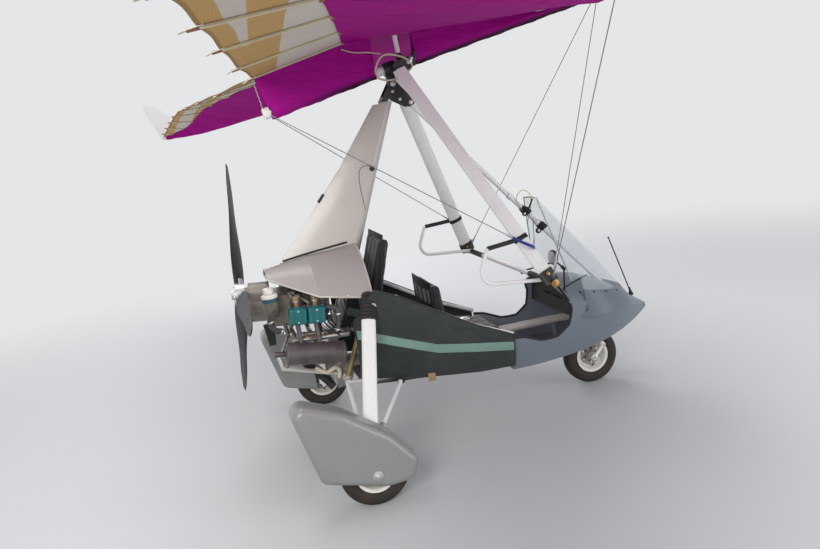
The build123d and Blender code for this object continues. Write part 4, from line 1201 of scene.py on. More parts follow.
def build_cockpit():
    rim = []
    for x, z in POD_RIM:
        hit, spot, _, _ = nodes["pod"].ray_cast(at(x, -1, z), Vector((0, 1, 0)))
        rim.append(Vector((spot.x, spot.y + 0.002, spot.z)) if hit else at(x, -0.35, z))
    for step in range(1, 9):
        above = at(lerp(1.468, 1.478, step / 8), lerp(-0.338, 0, step / 8), 1.0)
        hit, spot, _, _ = nodes["pod"].ray_cast(above, Vector((0, 0, -1)))
        if hit:
            rim.append(spot)
    line = rim + mirrored(rim[-2::-1], -1)
    merge("cockpit_binding", [tube(line, 0.008, 3)], "trike", "rubber_edge")

    # dials on the panel, which faces aft and a little up
    face = Vector((-1, 0, 0.2)).normalized()
    up = Vector((0.2, 0, 1)).normalized()
    centre = at(1.540, 0, 0.700) + face * 0.012
    bezels, faces, marks = [], [], []
    for y, rise, radius in DIALS:
        spot = centre + Vector((0, y, 0)) + up * rise
        bezels.append(drum(spot + face * 0.005, face, radius * 1.12, 0.012, 32, 0.003))
        faces.append(drum(spot + face * 0.0115, face, radius * 0.92, 0.003, 32, 0.0008))
        for number in range(9):
            turn = math.radians(-120 + 30 * number)
            way = Vector((0, math.sin(turn), 0)) + up * math.cos(turn)
            place = spot + face * 0.0133 + way * radius * 0.76
            marks.append(block(place, (radius * 0.16, 0.0014, 0.0008), way, 0.0002))
        hand = Vector((0, -0.5, 0)) + up * 0.85
        place = spot + face * 0.0136 + hand * radius * 0.3
        marks.append(block(place, (radius * 0.7, 0.0018, 0.0010), hand, 0.0003))
    for y in (-0.12, -0.08, -0.04, 0.04, 0.08, 0.12):
        place = centre + Vector((0, y, 0)) - up * 0.04 + face * 0.008
        bezels.append(drum(place, face, 0.006, 0.018, 14, 0.001))
    merge("dial_rims", bezels, "trike", "black_rubber")
    merge("dial_faces", faces, "trike", "dial")
    merge("dial_marks", marks, "trike", "dial_white")

    # bright edge of the screen, up one side, over the top and down the other
    port = [at(1.5335, 0.281, 0.802), at(1.522, 0.261, 0.88), at(1.486, 0.183, 1.10), at(1.450, 0.104, 1.325)]
    top = [at(1.468, 0.075, 1.326), at(1.479, 0.035, 1.326), at(1.482, 0, 1.326)]
    edge = port + top
    edge += mirrored(edge[-2::-1], -1)
    merge("screen_edge", [tube(edge, 0.0048, 3)], "trike", "screen_edge")
    studs = []
    for side in (1, -1):
        for x, y, z in SCREEN_STUDS:
            place = at(x, side * y, z)
            skins = [on_node(node, place) for node in ("pod", "windscreen")]
            spot, normal = min(skins, key=lambda skin: (skin[0] - place).length)
            studs.append((spot, normal, 0.0075))
    merge("screen_studs", bolts(studs, STUD), "trike", "black_rubber")
    stays = []
    for side in (1, -1):
        stays.append(tube([at(1.456, side * 0.330, 0.783), at(1.650, side * 0.262, 0.812)], 0.0055, 3))
        stays.append(drum(at(1.456, side * 0.330, 0.775), (0, 0.4 * side, 1), 0.009, 0.022, 16, 0.003))
    merge("screen_stays", stays, "trike", "black_rubber")

    # mirror on its arm
    mirror = [drum(at(*MIRROR), MIRROR_FACE, 0.046, 0.014, 40, 0.006)]
    arm = [(1.384, -0.398, 0.985), (1.405, -0.415, 0.955), (1.430, -0.415, 0.925)]
    arm += [(1.448, -0.365, 0.845), (1.458, -0.335, 0.775)]
    mirror.append(hose(arm, 0.0055))
    mirror.append(drum(at(1.428, -0.416, 0.928), (0.6, 0.1, -0.7), 0.011, 0.034, 16, 0.004))
    merge("mirror", mirror, "trike", "black_rubber")
    glass = drum(at(*MIRROR) + Vector(MIRROR_FACE) * 0.0074, MIRROR_FACE, 0.038, 0.002, 40, 0.0005)
    merge("mirror_glass", [glass], "trike", "silver")


# Front strut: clamps with their levers and pulley, and the parking strap
STRUT_FOOT = at(2.022, 0, 0.500)
STRUT_HEAD = at(0.747, 0, 2.049)
STRAP_RING = (1.235, -0.450, 1.097)
STRAP_RUNS = (
    # name and width, places of the two runs from the ring that hold the parked wing
    (
        ("parking_strap", 0.020),
        ((1.052, -0.612, 1.214), (1.100, -0.642, 1.180), (1.165, -0.640, 1.140), STRAP_RING),
    ),
    (
        ("strap_tail", 0.024),
        (STRAP_RING, (1.330, -0.260, 1.108), (1.405, -0.090, 1.135), (1.440, -0.026, 1.190)),
    ),
)


def build_strut():
    run = (STRUT_HEAD - STRUT_FOOT).normalized()
    clamps = []
    upper, lower = (
        STRUT_FOOT + run * (at(x, 0, z) - STRUT_FOOT).dot(run) for x, z in ((1.403, 1.252), (1.499, 1.135))
    )
    for centre in (upper, lower):
        clamps.append(drum(centre, run, 0.0245, 0.052, 28, 0.004))
        clamps.append(drum(centre + run * 0.032, run, 0.0205, 0.014, 28, 0.003))
        clamps.append(block(centre + Vector((0.010, -0.030, 0.006)), (0.044, 0.016, 0.026), run, 0.003))
    lever = [upper + Vector((0.01, -0.034, 0.01)), upper + Vector((0.045, -0.040, 0.075))]
    clamps.append(tube(lever, 0.0055, 3))
    clamps.append(drum(upper + Vector((-0.022, -0.036, -0.012)), (0, 1, 0), 0.015, 0.012, 24, 0.003))
    clamps.append(drum(lower + Vector((-0.034, -0.030, -0.022)), (0, 1, 0), 0.019, 0.012, 28, 0.003))
    merge("strut_clamps", clamps, "trike", "black_rubber")
    pins = [
        (lower + Vector((-0.034, -0.037, -0.022)), (0, -1, 0), 0.006),
        (upper + Vector((-0.022, -0.043, -0.012)), (0, -1, 0), 0.005),
    ]
    for side in (1, -1):
        cheek = Vector((0, side * 0.0385, 0))
        pins.append((HANG + cheek, (0, side, 0), 0.013))
        pins.append((STRUT_HEAD + cheek, (0, side, 0), 0.009))
        for x, z in ((-0.040, -0.095), (0.028, -0.097), (-0.010, -0.045)):
            pins.append((HANG + Vector((x, 0, z)) + cheek, (0, side, 0), 0.007))
    merge("bracket_bolts", bolts(pins), "trike", "silver")
    for (name, width), places in STRAP_RUNS:
        path = rounded([at(*place) for place in places], 8)
        merge(name, [strap(path, (0, 0, 1), width, 0.003)], "trike", "blue_strap")
    link = drum(at(*STRAP_RING), (0.5, -0.6, 0.3), 0.014, 0.008, 20, 0.003)
    merge("strap_ring", [link], "trike", "silver")
    line = [(1.375, -0.020, 1.262), (1.345, -0.024, 1.345), (1.392, -0.026, 1.392), (1.440, -0.028, 1.352)]
    line += [(1.432, -0.030, 1.270), (1.400, -0.032, 1.190), (1.388, -0.030, 1.172)]
    merge("strut_line", [hose(line, 0.0022, 2)], "trike", "yellow_cord")


# Control frame: grips, bands, bolts, and the rigging's wires with their ends
BAR_END = (1.215, 0.707, 0.936)
UPRIGHT_HEAD = (0.695, 0.079, 2.247)
BAND_HEIGHT = 1.196
WIRE_RADIUS = 0.0025
SIDE_WIRE = 1.80


def build_control_frame():
    grips, bands, brass, swages, lines = [], [], [], [], []
    king_eye = KINGPOST_HEAD - Vector((0, 0, 0.012))
    for side in (1, -1):
        corner, head = mirrored([at(*BAR_END), at(*UPRIGHT_HEAD)], side)
        rise = (head - corner).normalized()
        out = rise.cross(Vector((1, 0, 0))).normalized() * -side
        out = out if out.y * side > 0 else -out
        hand = [(0.893, side * 0.6195, 1.1845), (0.960, side * 0.611, 1.1875), (1.092, side * 0.594, 1.1945)]
        grips.append(hose(hand, 0.0135, 4, 8))
        grips.append(drum(at(1.098, side * 0.593, 1.195), (0.98, 0, 0.04), 0.017, 0.018, 24, 0.004))
        bar = [Vector((corner.x, side * lerp(0.40, 0.62, step / 10), corner.z)) for step in range(11)]
        grips.append(tube(bar, 0.0185, 4))
        spot = corner.lerp(head, (BAND_HEIGHT - corner.z) / (head.z - corner.z))
        fore = (Vector((1, 0, 0)) - rise * rise.x).normalized()
        for shift in (-0.009, 0, 0.009):
            ring = oval(spot + rise * shift, fore * 0.0432, out * 0.0167, 40)
            bands.append(tube(ring, 0.0048, 2, True))
        brass.append(drum(corner + Vector((0, side * 0.044, 0)), (0, side, 0), 0.0225, 0.012, 28, 0.003))
        brass.append(drum(corner + Vector((0, side * 0.054, 0)), (0, side, 0), 0.014, 0.012, 24, 0.003))
        brass += bolts(
            [
                (corner + rise * 0.052 + out * 0.0225, out, 0.008),
                (corner + rise * 0.052 - out * 0.0225, -out, 0.008),
                (corner + Vector((0.021, side * 0.022, 0)), (1, 0, 0), 0.007),
                (corner + Vector((-0.021, side * 0.022, 0)), (-1, 0, 0), 0.007),
            ]
        )
        lead_x, lead_z = wing_at(SIDE_WIRE)[:2]
        ends = (
            at(lead_x - 0.012, side * SIDE_WIRE, lead_z - 0.016),
            keel_point(1.450) + Vector((0, side * 0.016, -0.008)),
        )
        for end in ends:
            lines.append(tube([corner, end], WIRE_RADIUS, 2))
        aft_end = keel_point(-0.770) + Vector((0, side * 0.024, -0.012))
        eye = at(1.070, side * 0.592, 1.203)
        lines.append(tube([eye, aft_end], WIRE_RADIUS, 2))
        # from the kingpost, over the leading edge, to the side wire's end
        lines.append(tube([king_eye, ends[0] + Vector((-0.020, 0, 0.042))], WIRE_RADIUS, 2))
        way = (aft_end - eye).normalized()
        swages.append(drum(eye + way * 0.030, way, 0.0052, 0.060, 16, 0.001))
        swages.append(block(eye, (0.034, 0.010, 0.014), way, 0.002))
        for end in ends:
            way = (end - corner).normalized()
            swages.append(drum(corner + way * 0.115, way, 0.0052, 0.060, 16, 0.001))
            swages.append(drum(corner + way * 0.165, way, 0.0040, 0.040, 14, 0.001))
            swages.append(block(corner + way * 0.060, (0.062, 0.004, 0.016), way, 0.001))
        swages += bolts([(corner + Vector((0.030, -side * 0.010, -0.004)), (0.3, 0, -1), 0.008)])
    lines.append(tube([king_eye, at(-0.110, 0, 2.342)], WIRE_RADIUS, 2))
    lines.append(tube([king_eye, keel_point(1.400)], WIRE_RADIUS, 2))
    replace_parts(merge("wires", lines, "wing", "cable"), "rigging")
    merge("hand_grips", grips, "wing", "black_rubber")
    merge("upright_bands", bands, "wing", "black_rubber")
    merge("knuckle_brass", brass, "wing", "brass")
    merge("wire_ends", swages, "wing", "silver")


# Engine: hoses, leads, straps and bolts round the plain castings
THRUST_LEAN = math.radians(7)
HUB = at(-0.474, 0, 1.105)
CYLINDERS = (0.295, 0.402)
THRUST = Vector((math.cos(THRUST_LEAN), 0, -math.sin(THRUST_LEAN)))
RISE = Vector((math.sin(THRUST_LEAN), 0, math.cos(THRUST_LEAN)))


def on_engine(ahead, y=0.0, rise=0.0):
    """A place ahead of the hub along its shaft, to port, and above the shaft."""
    return HUB + THRUST * ahead + Vector((0, y, 0)) + RISE * rise


# Hoses round the engine and below it: radius, sides, places
COOLANT_HOSES = (
    (
        (0.0175, 5),
        ((-0.300, -0.262, 1.000), (-0.335, -0.292, 0.990), (-0.352, -0.300, 0.955)),
        ((-0.330, -0.300, 0.915), (-0.290, -0.285, 0.893)),
    ),
    (
        (0.0150, 5),
        ((-0.040, -0.280, 0.975), (0.005, -0.297, 0.978), (0.040, -0.300, 0.955)),
        ((0.040, -0.300, 0.900), (0.024, -0.298, 0.830)),
    ),
    (
        (0.0165, 5),
        ((-0.300, 0.262, 1.000), (-0.345, 0.290, 0.970)),
        ((-0.330, 0.292, 0.910), (-0.280, 0.270, 0.880)),
    ),
    (
        (0.0150, 5),
        ((0.100, 0.10, 0.93), (0.150, 0.16, 0.86)),
        ((0.090, 0.15, 0.70), (0.000, 0.12, 0.64)),
    ),
)
SILENCER_HOSES = (
    (
        (0.0125, 5),
        ((-0.136, -0.200, 0.613), (-0.105, -0.205, 0.584), (-0.070, -0.200, 0.567)),
        ((-0.020, -0.196, 0.584), (0.004, -0.190, 0.556), (-0.005, -0.175, 0.511)),
    ),
    (
        (0.0100, 4),
        ((-0.160, -0.150, 0.640), (-0.100, -0.170, 0.625)),
        ((-0.040, -0.170, 0.630), (0.020, -0.185, 0.600)),
    ),
)
HOSE_CLAMPS = (
    # place, the hose's direction there
    ((-0.348, -0.299, 0.965), (-0.2, 0, 1)),
    ((-0.300, -0.288, 0.897), (1, 0.3, -0.5)),
    ((0.041, -0.300, 0.93), (0, 0, 1)),
    ((0.025, -0.298, 0.838), (0.1, 0, 1)),
)
BEARER_AFT = (-0.235, 0.236, 0.812)
BEARER_FORE = (0.092, 0.236, 0.783)


def build_engine():
    for name, hoses, finish in (
        ("coolant_hoses", COOLANT_HOSES, "hose_grey"),
        ("silencer_hoses", SILENCER_HOSES, "cream"),
    ):
        pieces = [hose(start + end, *size, 8) for size, start, end in hoses]
        merge(name, pieces, "trike", finish)
    boots, clamps, leads, caps, cover_bolts = [], [], [], [], []
    for side in (1, -1):
        for ahead in CYLINDERS:
            top = on_engine(ahead, side * 0.262, -0.064)
            boots.append(drum(top + RISE * 0.026, RISE, 0.0235, 0.050, 24, 0.004))
            boots.append(drum(top + RISE * 0.058, RISE, 0.0190, 0.022, 24, 0.003))
            clamps.append(drum(top + RISE * 0.012, RISE, 0.0248, 0.007, 28, 0.001))
            clamps.append(drum(top + RISE * 0.040, RISE, 0.0248, 0.007, 28, 0.001))
            for shift in (-0.026, 0.026):
                plug = on_engine(ahead + shift, side * 0.292, -0.045)
                caps.append(drum(plug + RISE * 0.006, RISE, 0.0095, 0.030, 16, 0.002))
                end = on_engine(0.352 + shift * 0.4, side * 0.120, -0.010 + shift * 0.3)
                lead = [plug + RISE * 0.018, plug + RISE * 0.040 + Vector((0, -side * 0.018, 0))]
                lead += [plug.lerp(end, 0.55) + RISE * 0.044, end]
                leads.append(tube(rounded(lead, 7), 0.0042, 3))
            # a bolt above and below the middle of each teal cover
            for rise in (0.032, -0.032):
                cover_bolts.append((on_engine(ahead, side * 0.3595, -0.097 + rise), (0, side, 0), 0.0038))
    for place, way in HOSE_CLAMPS:
        clamps.append(drum(at(*place), way, 0.0198, 0.010, 28, 0.001))
    merge("inlet_boots", boots, "trike", "hose_tan")
    merge("hose_clamps", clamps, "trike", "silver")
    merge("plug_leads", leads, "trike", "black_rubber")
    merge("plug_caps", caps, "trike", "black_rubber")
    merge("cover_bolts", bolts(cover_bolts), "trike", "silver")
    # cables that hang loosely from the carburettors, each a little different
    lines = []
    random = Random(7)
    for number in range(9):
        share = number / 8
        start = at(lerp(-0.10, 0.10, share), -0.235 - 0.04 * random.random(), 1.000 - 0.02 * random.random())
        end = at(lerp(0.00, 0.14, share), -0.210 - 0.05 * random.random(), 0.790 - 0.03 * random.random())
        sag = start.lerp(end, 0.5) + Vector((0.02 * random.random() - 0.035, -0.025, -0.01))
        path = [start, start.lerp(sag, 0.5) + Vector((0, -0.02, 0)), sag, end]
        lines.append(tube(rounded(path), random.choice((0.0024, 0.0034, 0.0046)), 2))
    merge("control_cables", lines, "trike", "black_rubber")
    lines = []
    for number in range(4):
        start = at(-0.26 + 0.09 * number, -0.250, 0.832 + 0.004 * (number % 2))
        end = at(-0.16 + 0.07 * number, -0.235, 0.812 - 0.006 * (number % 2))
        path = [start, start.lerp(end, 0.4) + Vector((0, -0.022, -0.012)), end]
        lines.append(tube(rounded(path), 0.0032, 2))
    merge("oil_lines", lines, "trike", "brass")
    # bands round the silencer, and its tail pipe
    aft, fore = at(-0.300, -0.300, 0.762), at(0.045, -0.300, 0.696)
    way = (fore - aft).normalized()
    bands = [drum(aft + way * reach, way, 0.0665, 0.016, 48, 0.003) for reach in (0.014, 0.335)]
    bands.append(drum(aft - way * 0.030, way, 0.017, 0.070, 24, 0.002))
    merge("silencer_bands", bands, "trike", "silencer")
    rails = []
    for side in (1, -1):
        aft, fore = mirrored([at(*BEARER_AFT), at(*BEARER_FORE)], side)
        rails.append(tube([aft, fore], 0.0175, 5))
        for share in (0.12, 0.5, 0.88):
            spot = aft.lerp(fore, share) + Vector((0, -side * 0.018, 0.004))
            rails.append(block(spot, (0.030, 0.034, 0.046), fore - aft, 0.004))
    merge("mount_tubes", rails, "trike", "silver")
    mounts = []
    for side in (1, -1):
        for share in (0.02, 0.30, 0.62, 0.98):
            spot = at(-0.190, side * 0.200, 0.829).lerp(at(0.152, side * 0.200, 0.789), share)
            mounts.append((spot + Vector((0, side * 0.0148, 0)), (0, side, 0), 0.0085))
    hub = []
    for number in range(6):
        turn = math.radians(60 * number + 20)
        spot = on_engine(-0.030, 0.045 * math.sin(turn), 0.045 * math.cos(turn))
        hub.append((spot, -THRUST, 0.008))
    merge("hub_bolts", bolts(hub), "propeller", "silver")
    merge("mount_bolts", bolts(mounts), "trike", "silver")


# Cowl and fairing: rims, seal, joint line, plug, clip and rivets
COVER_LINE = (
    # x and z of the joint round the upper cover on the mast's fairing
    (0.461, 1.689),
    (0.438, 1.713),
    (0.407, 1.723),
    (0.377, 1.720),
    (0.358, 1.697),
    (0.351, 1.662),
    (0.348, 1.615),
    (0.349, 1.562),
    (0.352, 1.509),
    (0.359, 1.460),
)


# The cowl's lower edge from its mouth aft, as places on the port side
COWL_EDGE = ((0.250, 0.352, 0.992), (-0.050, 0.330, 1.056), (-0.310, 0.120, 1.176))


def build_shell_trim():
    rims = []
    mouth_x, _, mouth_z = COWL_EDGE[0]
    middle_x, _, middle_z = COWL_EDGE[1]
    tail_x, tail_y, tail_z = COWL_EDGE[2]
    for side in (1, -1):
        rims.append(tube([at(x, side * (y - 0.001), z) for x, y, z in COWL_EDGE], 0.0062, 3))
    rims.append(tube([at(tail_x, y, tail_z) for y in (-tail_y, 0, tail_y)], 0.0055, 3))
    arch = []
    for step in range(25):
        turn = math.pi * step / 24
        near = at(mouth_x, 0.36 * math.cos(turn), 0.985 + 0.31 * math.sin(turn))
        place, _ = on_node("engine_cowl", near)
        arch.append(Vector((axle_x + mouth_x - 0.001, place.y, place.z)))
    rims.append(tube(arch[1:-1], 0.0055, 3))
    merge("cowl_rims", rims, "trike", "fairing")
    # rubber seal where the fairing stands on the cowl
    seal = []
    for side in (1, -1):
        line = []
        for step in range(17):
            x = lerp(-0.205, 0.205, step / 16)
            place, _ = on_node("mast_fairing", at(x, side * 0.075, lerp(1.262, 1.292, step / 16)))
            line.append(place + Vector((0, side * 0.002, 0.002)))
        seal.append(tube(line, 0.0062, 3))
    merge("fairing_seal", seal, "trike", "rubber_edge")
    plug, normal = on_node("mast_fairing", at(0.440, -0.060, 1.700))
    merge("fairing_plug", bolts([(plug, normal, 0.016)], STUD), "trike", "black_rubber")
    # joint line of the fairing's cover, on both sides, and the clip on its rear edge
    joints = []
    for side in (1, -1):
        line = [on_node("mast_fairing", at(x, side * 0.055, z))[0] for x, z in COVER_LINE]
        joints.append(tube(rounded(line, 4), 0.0022, 2))
    merge("fairing_joints", joints, "trike", "fairing_joint")
    ahead = Vector((1, 0, 0))
    low, high = (nodes["mast_fairing"].ray_cast(at(-0.5, 0, z), ahead)[1] for z in (1.554, 1.599))
    clip = block((low + high) / 2, ((high - low).length, 0.034, 0.010), high - low, 0.003)
    merge("fairing_clip", [clip], "trike", "black_rubber")
    rivets = []
    for side in (1, -1):
        for x in (-0.02, 0.11, 0.21):
            z = lerp(mouth_z, middle_z, (mouth_x - x) / (mouth_x - middle_x)) + 0.016
            spot, normal = on_node("engine_cowl", at(x, side * 0.36, z))
            rivets.append((spot, normal, 0.0045))
    merge("cowl_rivets", bolts(rivets, STUD), "trike", "silver")


# Undercarriage: gaiters, washers, bolts, grommets, valves
# Drag rods, as the place at the rail, the place at the leg's foot, and the radius
DRAG_RODS = (
    ((0.358, 0.298, 0.468), (0.096, 0.768, 0.372), 0.014),
    ((0.020, 0.296, 0.505), (-0.018, 0.768, 0.400), 0.012),
)
LEG_FOOT = (0.036, 0.775, 0.405)
LEG_TOP = (0.200, 0.400, 0.925)
GAITER_RIBS = 7
WHEELS = (
    # name, place ahead of the main axle, to port, body
    ("front", NOSE_AXLE, 0.0, "front_wheel"),
    ("left", 0.0, HALF_TRACK, "left_wheel"),
    ("right", 0.0, -HALF_TRACK, "right_wheel"),
)
FOOT_BAR_LEAN = math.radians(20)


def build_gear():
    gaiters, washers, dark, tabs = [], [], [], []
    for side in (1, -1):
        foot, top = mirrored([at(*LEG_FOOT), at(*LEG_TOP)], side)
        way = (top - foot).normalized()
        fore = (Vector((1, 0, 0)) - way * way.x).normalized()
        out = way.cross(fore).normalized()
        low, high = top - way * 0.045, top + way * 0.098
        for number in range(GAITER_RIBS):
            share = number / (GAITER_RIBS - 1)
            for shift, swell in ((0.0, 1.0), (0.0095, 0.90)):
                size = lerp(1.06, 0.84, share) * swell
                spot = low.lerp(high, share) + way * shift
                ring = oval(spot, fore * 0.0425 * size, out * 0.0230 * size, 36)
                gaiters.append(tube(ring, 0.0072, 3, True))
        core = [low.lerp(high, step / 6) for step in range(7)]
        for shift in (-0.024, 0, 0.024):
            gaiters.append(tube([place + fore * shift for place in core], 0.0195, 4))
        gaiters.append(drum(high + way * 0.006, way, 0.038, 0.020, 32, 0.006))
        washers += bolts([(at(0.126, side * 0.5905, 0.691), (0, side, 0.4), 0.0045)])
        washers.append(drum(at(0, side * 0.9525, AXLE_HEIGHT), (0, side, 0), 0.028, 0.004, 40, 0.001))
        washers += bolts([(at(0, side * 0.9535, AXLE_HEIGHT), (0, side, 0), 0.012)])
        for number, (inner, outer, radius) in enumerate(DRAG_RODS):
            start, end = mirrored([at(*inner), at(*outer)], side)
            run = (end - start).normalized()
            washers.append(drum(end - run * 0.012, run, radius + 0.005, 0.030, 24, 0.003))
            if number == 0:
                # the fore rod goes through a grommet in the side cloth
                dark.append(drum(start + run * 0.050, run, 0.026, 0.014, 28, 0.005))
                dark.append(drum(start + run * 0.062, run, 0.020, 0.016, 28, 0.005))
        tab = [at(0.524, side * y, z) for y, z in ((0.3375, 0.478), (0.3450, 0.440), (0.3385, 0.402))]
        tabs.append(strap(rounded(tab, 4), (1, 0, 0), 0.046, 0.003))
    merge("leg_gaiters", gaiters, "trike", "black_rubber", 50)
    merge("gear_washers", washers, "trike", "silver")
    merge("rod_grommets", dark, "trike", "black_rubber")
    merge("cloth_tabs", tabs, "trike", "hose_tan")

    # bolts round each rim, and its valve
    for name, x, y, body in WHEELS:
        centre = at(x, y, AXLE_HEIGHT)
        pieces = []
        for side in (1, -1):
            pieces.append(drum(centre + Vector((0, side * 0.0385, 0)), (0, side, 0), 0.026, 0.004, 32, 0.001))
            for number in range(6):
                turn = math.radians(60 * number + 30)
                spot = centre + Vector((math.cos(turn) * 0.058, side * 0.008, math.sin(turn) * 0.058))
                pieces.append(copied(BOLT, spot, (0, side, 0), 0.0055))
            for number in range(18):
                turn = math.radians(20 * number)
                spot = centre + Vector((math.cos(turn) * 0.082, side * 0.0085, math.sin(turn) * 0.082))
                pieces.append(copied(STUD, spot, (0, side, 0), 0.003))
        merge("rim_bolts_" + name, pieces, body, "silver")
        stem = centre + Vector((0.0, -0.012, -0.082))
        bent = [stem + Vector(shift) for shift in ((0, 0, 0), (0, -0.016, 0.012), (0, -0.030, 0.020))]
        valve = [tube(bent, 0.0038, 3)]
        valve.append(drum(stem + Vector((0, -0.034, 0.0225)), (0, -1, 0.6), 0.0048, 0.010, 14, 0.001))
        merge("valve_" + name, valve, body, "black_rubber")

    # fork: caps on the axle, pins and links at the knees, ribbed sleeves on the foot bar
    pins, links = [], []
    for side in (1, -1):
        pins += bolts([(at(NOSE_AXLE, side * 0.0835, AXLE_HEIGHT), (0, side, 0), 0.0105)])
        pins += bolts([(at(1.806, side * 0.0820, 0.262), (0, side, 0), 0.0085)])
        pins.append(drum(at(1.806, side * 0.072, 0.262), (0, side, 0), 0.0165, 0.022, 28, 0.003))
        run = ((1.767, 0.322), (1.798, 0.276), (1.792, 0.250), (NOSE_AXLE, AXLE_HEIGHT))
        links.append(hose([(x, side * 0.0735, z) for x, z in run], 0.0135, 4))
    merge("fork_bolts", pins, "steering", "silver")
    merge("fork_links", links, "steering", "white_tube")
    bar = at(1.690 - 0.080 * math.tan(FOOT_BAR_LEAN), 0, 0.580)
    pieces = []
    for side in (1, -1):
        line = [bar + Vector((0, side * y, 0)) for y in (0.085, 0.130, 0.188)]
        pieces.append(tube(line, 0.0150, 4))
        pieces.append(drum(bar + Vector((0, side * 0.190, 0)), (0, side, 0), 0.0175, 0.008, 24, 0.003))
        for number in range(6):
            rib = bar + Vector((0, side * (0.096 + 0.016 * number), 0))
            pieces.append(drum(rib, (0, 1, 0), 0.0165, 0.006, 24, 0.002))
    merge("foot_sleeves", pieces, "steering", "black_rubber")


# Fittings of the kingpost, the tips and the aerial
def build_fittings():
    head = KINGPOST_HEAD - Vector((0, 0, 0.004))
    pieces = [drum(head - Vector((0, 0, 0.030)), (0, 0, 1), 0.0185, 0.030, 28, 0.003)]
    pieces += bolts([(head + Vector((0, side * 0.018, -0.030)), (0, side, 0), 0.007) for side in (1, -1)])
    foot = KINGPOST_FOOT + Vector((-0.004, 0, KEEL_RADIUS + 0.016))
    pieces.append(drum(foot, (-0.06, 0, 1), 0.021, 0.046, 28, 0.004))
    merge("kingpost_fittings", pieces, "wing", "black_metal")
    pieces = []
    for side in (1, -1):
        for x, z in ((-0.760, 2.140), (-0.800, 2.118), (-0.765, 2.225), (-0.830, 2.150)):
            pieces += bolts([(at(x, side * 4.9505, z), (0, side, 0), 0.008)])
    merge("tip_bolts", pieces, "wing", "black_metal")
    base = [drum(at(2.0955, 0, 0.540), (-0.1, 0, 1), 0.0165, 0.016, 28, 0.004)]
    base.append(drum(at(2.0905, 0, 0.572), (-0.28, 0, 1), 0.0075, 0.034, 20, 0.002))
    base.append(drum(at(1.9725, 0, 0.961), (-0.28, 0, 1), 0.0056, 0.012, 16, 0.003))
    merge("aerial_base", base, "trike", "black_rubber")


build_battens()
build_keel_details()
build_side_cloth(1, "side_cloth_left", "side_panel_left")
build_side_cloth(-1, "side_cloth_right", "side_panel_right")
build_seats()
build_cockpit()
build_strut()
build_control_frame()
build_engine()
build_shell_trim()
build_gear()
build_fittings()
for model in (BOLT, STUD):
    bpy.data.objects.remove(model)


# Camera: at the photograph's place, beside the wing and just below it
EYE = at(-0.591, -4.781, 2.031)
AIM = at(0.570, -0.026, 1.007)
ROLL = math.radians(-9.4)
LENS = 34.99


def aimed(name, data, place, aim):
    """A camera or lamp at a place, turned to another."""
    holder = bpy.data.objects.new(name, data)
    bpy.context.scene.collection.objects.link(holder)
    holder.location = place
    holder.rotation_mode = "QUATERNION"
    holder.rotation_quaternion = (aim - place).to_track_quat("-Z", "Y")
    return holder


camera_data = bpy.data.cameras.new("camera")
camera_data.sensor_width = 36.0
camera_data.lens = LENS
camera = aimed("camera", camera_data, EYE, AIM)
camera.rotation_quaternion = camera.rotation_quaternion @ Quaternion((0, 0, 1), ROLL)
bpy.context.scene.camera = camera


# Studio: a pale floor that fades into a pale background, and soft lamps
PALE = (0.78, 0.79, 0.80, 1.0)
FLOOR_GREY = (0.56, 0.57, 0.58, 1.0)
SKYLIGHT = (0.93, 0.96, 1.0, 1.0)
FADE_START, FADE_END = 3.6, 8.0


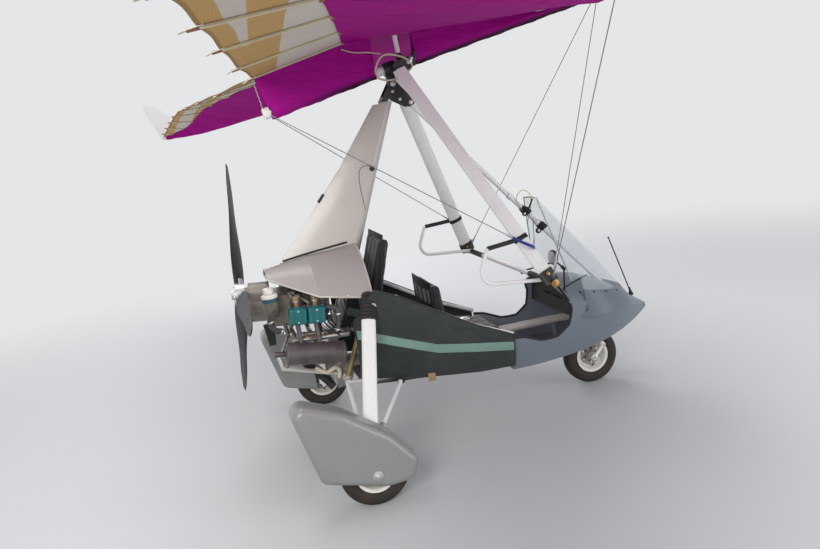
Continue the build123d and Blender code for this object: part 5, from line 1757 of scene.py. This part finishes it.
def build_floor():
    deselect()
    bpy.ops.mesh.primitive_circle_add(vertices=96, radius=60, fill_type="NGON", location=(0, 0, 0))
    floor = bpy.context.object
    floor.name = "floor"
    paint = Paint("floor_paint", Roughness=0.9)
    x, y, _ = paint.axes()
    away = paint.maths("SQRT", x * x + y * y)
    paint.set("Base Color", FLOOR_GREY)
    glow = paint.node("ShaderNodeEmission", values={"Color": PALE, "Strength": 1.0})
    mixed = paint.node(
        "ShaderNodeMixShader",
        values={
            0: paint.step(away, FADE_START, FADE_END),
            1: Value(paint, paint.shader.outputs[0]),
            2: glow,
        },
    )
    paint.join(mixed, paint.tree.nodes["Material Output"].inputs["Surface"])
    floor.data.materials.append(paint.material)


def build_world():
    """Soft light from all round. The camera, metal and glass see the pale background in it."""
    world = bpy.data.worlds.new("studio")
    bpy.context.scene.world = world
    world.use_nodes = True
    tree = world.node_tree
    background = tree.nodes["Background"]
    seen = tree.nodes.new("ShaderNodeLightPath")
    share = seen.outputs["Is Camera Ray"]
    for ray in ("Is Glossy Ray", "Is Transmission Ray"):
        pick = tree.nodes.new("ShaderNodeMath")
        pick.operation = "MAXIMUM"
        tree.links.new(share, pick.inputs[0])
        tree.links.new(seen.outputs[ray], pick.inputs[1])
        share = pick.outputs[0]
    mix = tree.nodes.new("ShaderNodeMixShader")
    shown = tree.nodes.new("ShaderNodeBackground")
    shown.inputs["Color"].default_value = PALE
    background.inputs["Color"].default_value = SKYLIGHT
    background.inputs["Strength"].default_value = 0.55
    tree.links.new(share, mix.inputs[0])
    tree.links.new(background.outputs[0], mix.inputs[1])
    tree.links.new(shown.outputs[0], mix.inputs[2])
    tree.links.new(mix.outputs[0], tree.nodes["World Output"].inputs["Surface"])


def lamp(name, place, aim, size, power, tint=(1, 1, 1)):
    light = bpy.data.lights.new(name, "AREA")
    light.shape = "DISK"
    light.size = size
    light.energy = power
    light.color = tint
    aimed(name, light, place, aim)


build_floor()
build_world()
lamp("key", at(-3.5, -7.5, 4.5), at(0.6, 0, 1.2), 4.0, 400, (1, 0.98, 0.95))
lamp("fill", at(6.0, -6.0, 2.2), at(0.8, 0, 1.0), 4.0, 170, (0.95, 0.98, 1))
lamp("top", at(0.5, 0.5, 8.0), at(0.5, 0, 2.0), 6.0, 330)
lamp("far_side", at(1.0, 8.0, 4.0), at(0.6, 0, 1.2), 4.0, 210)
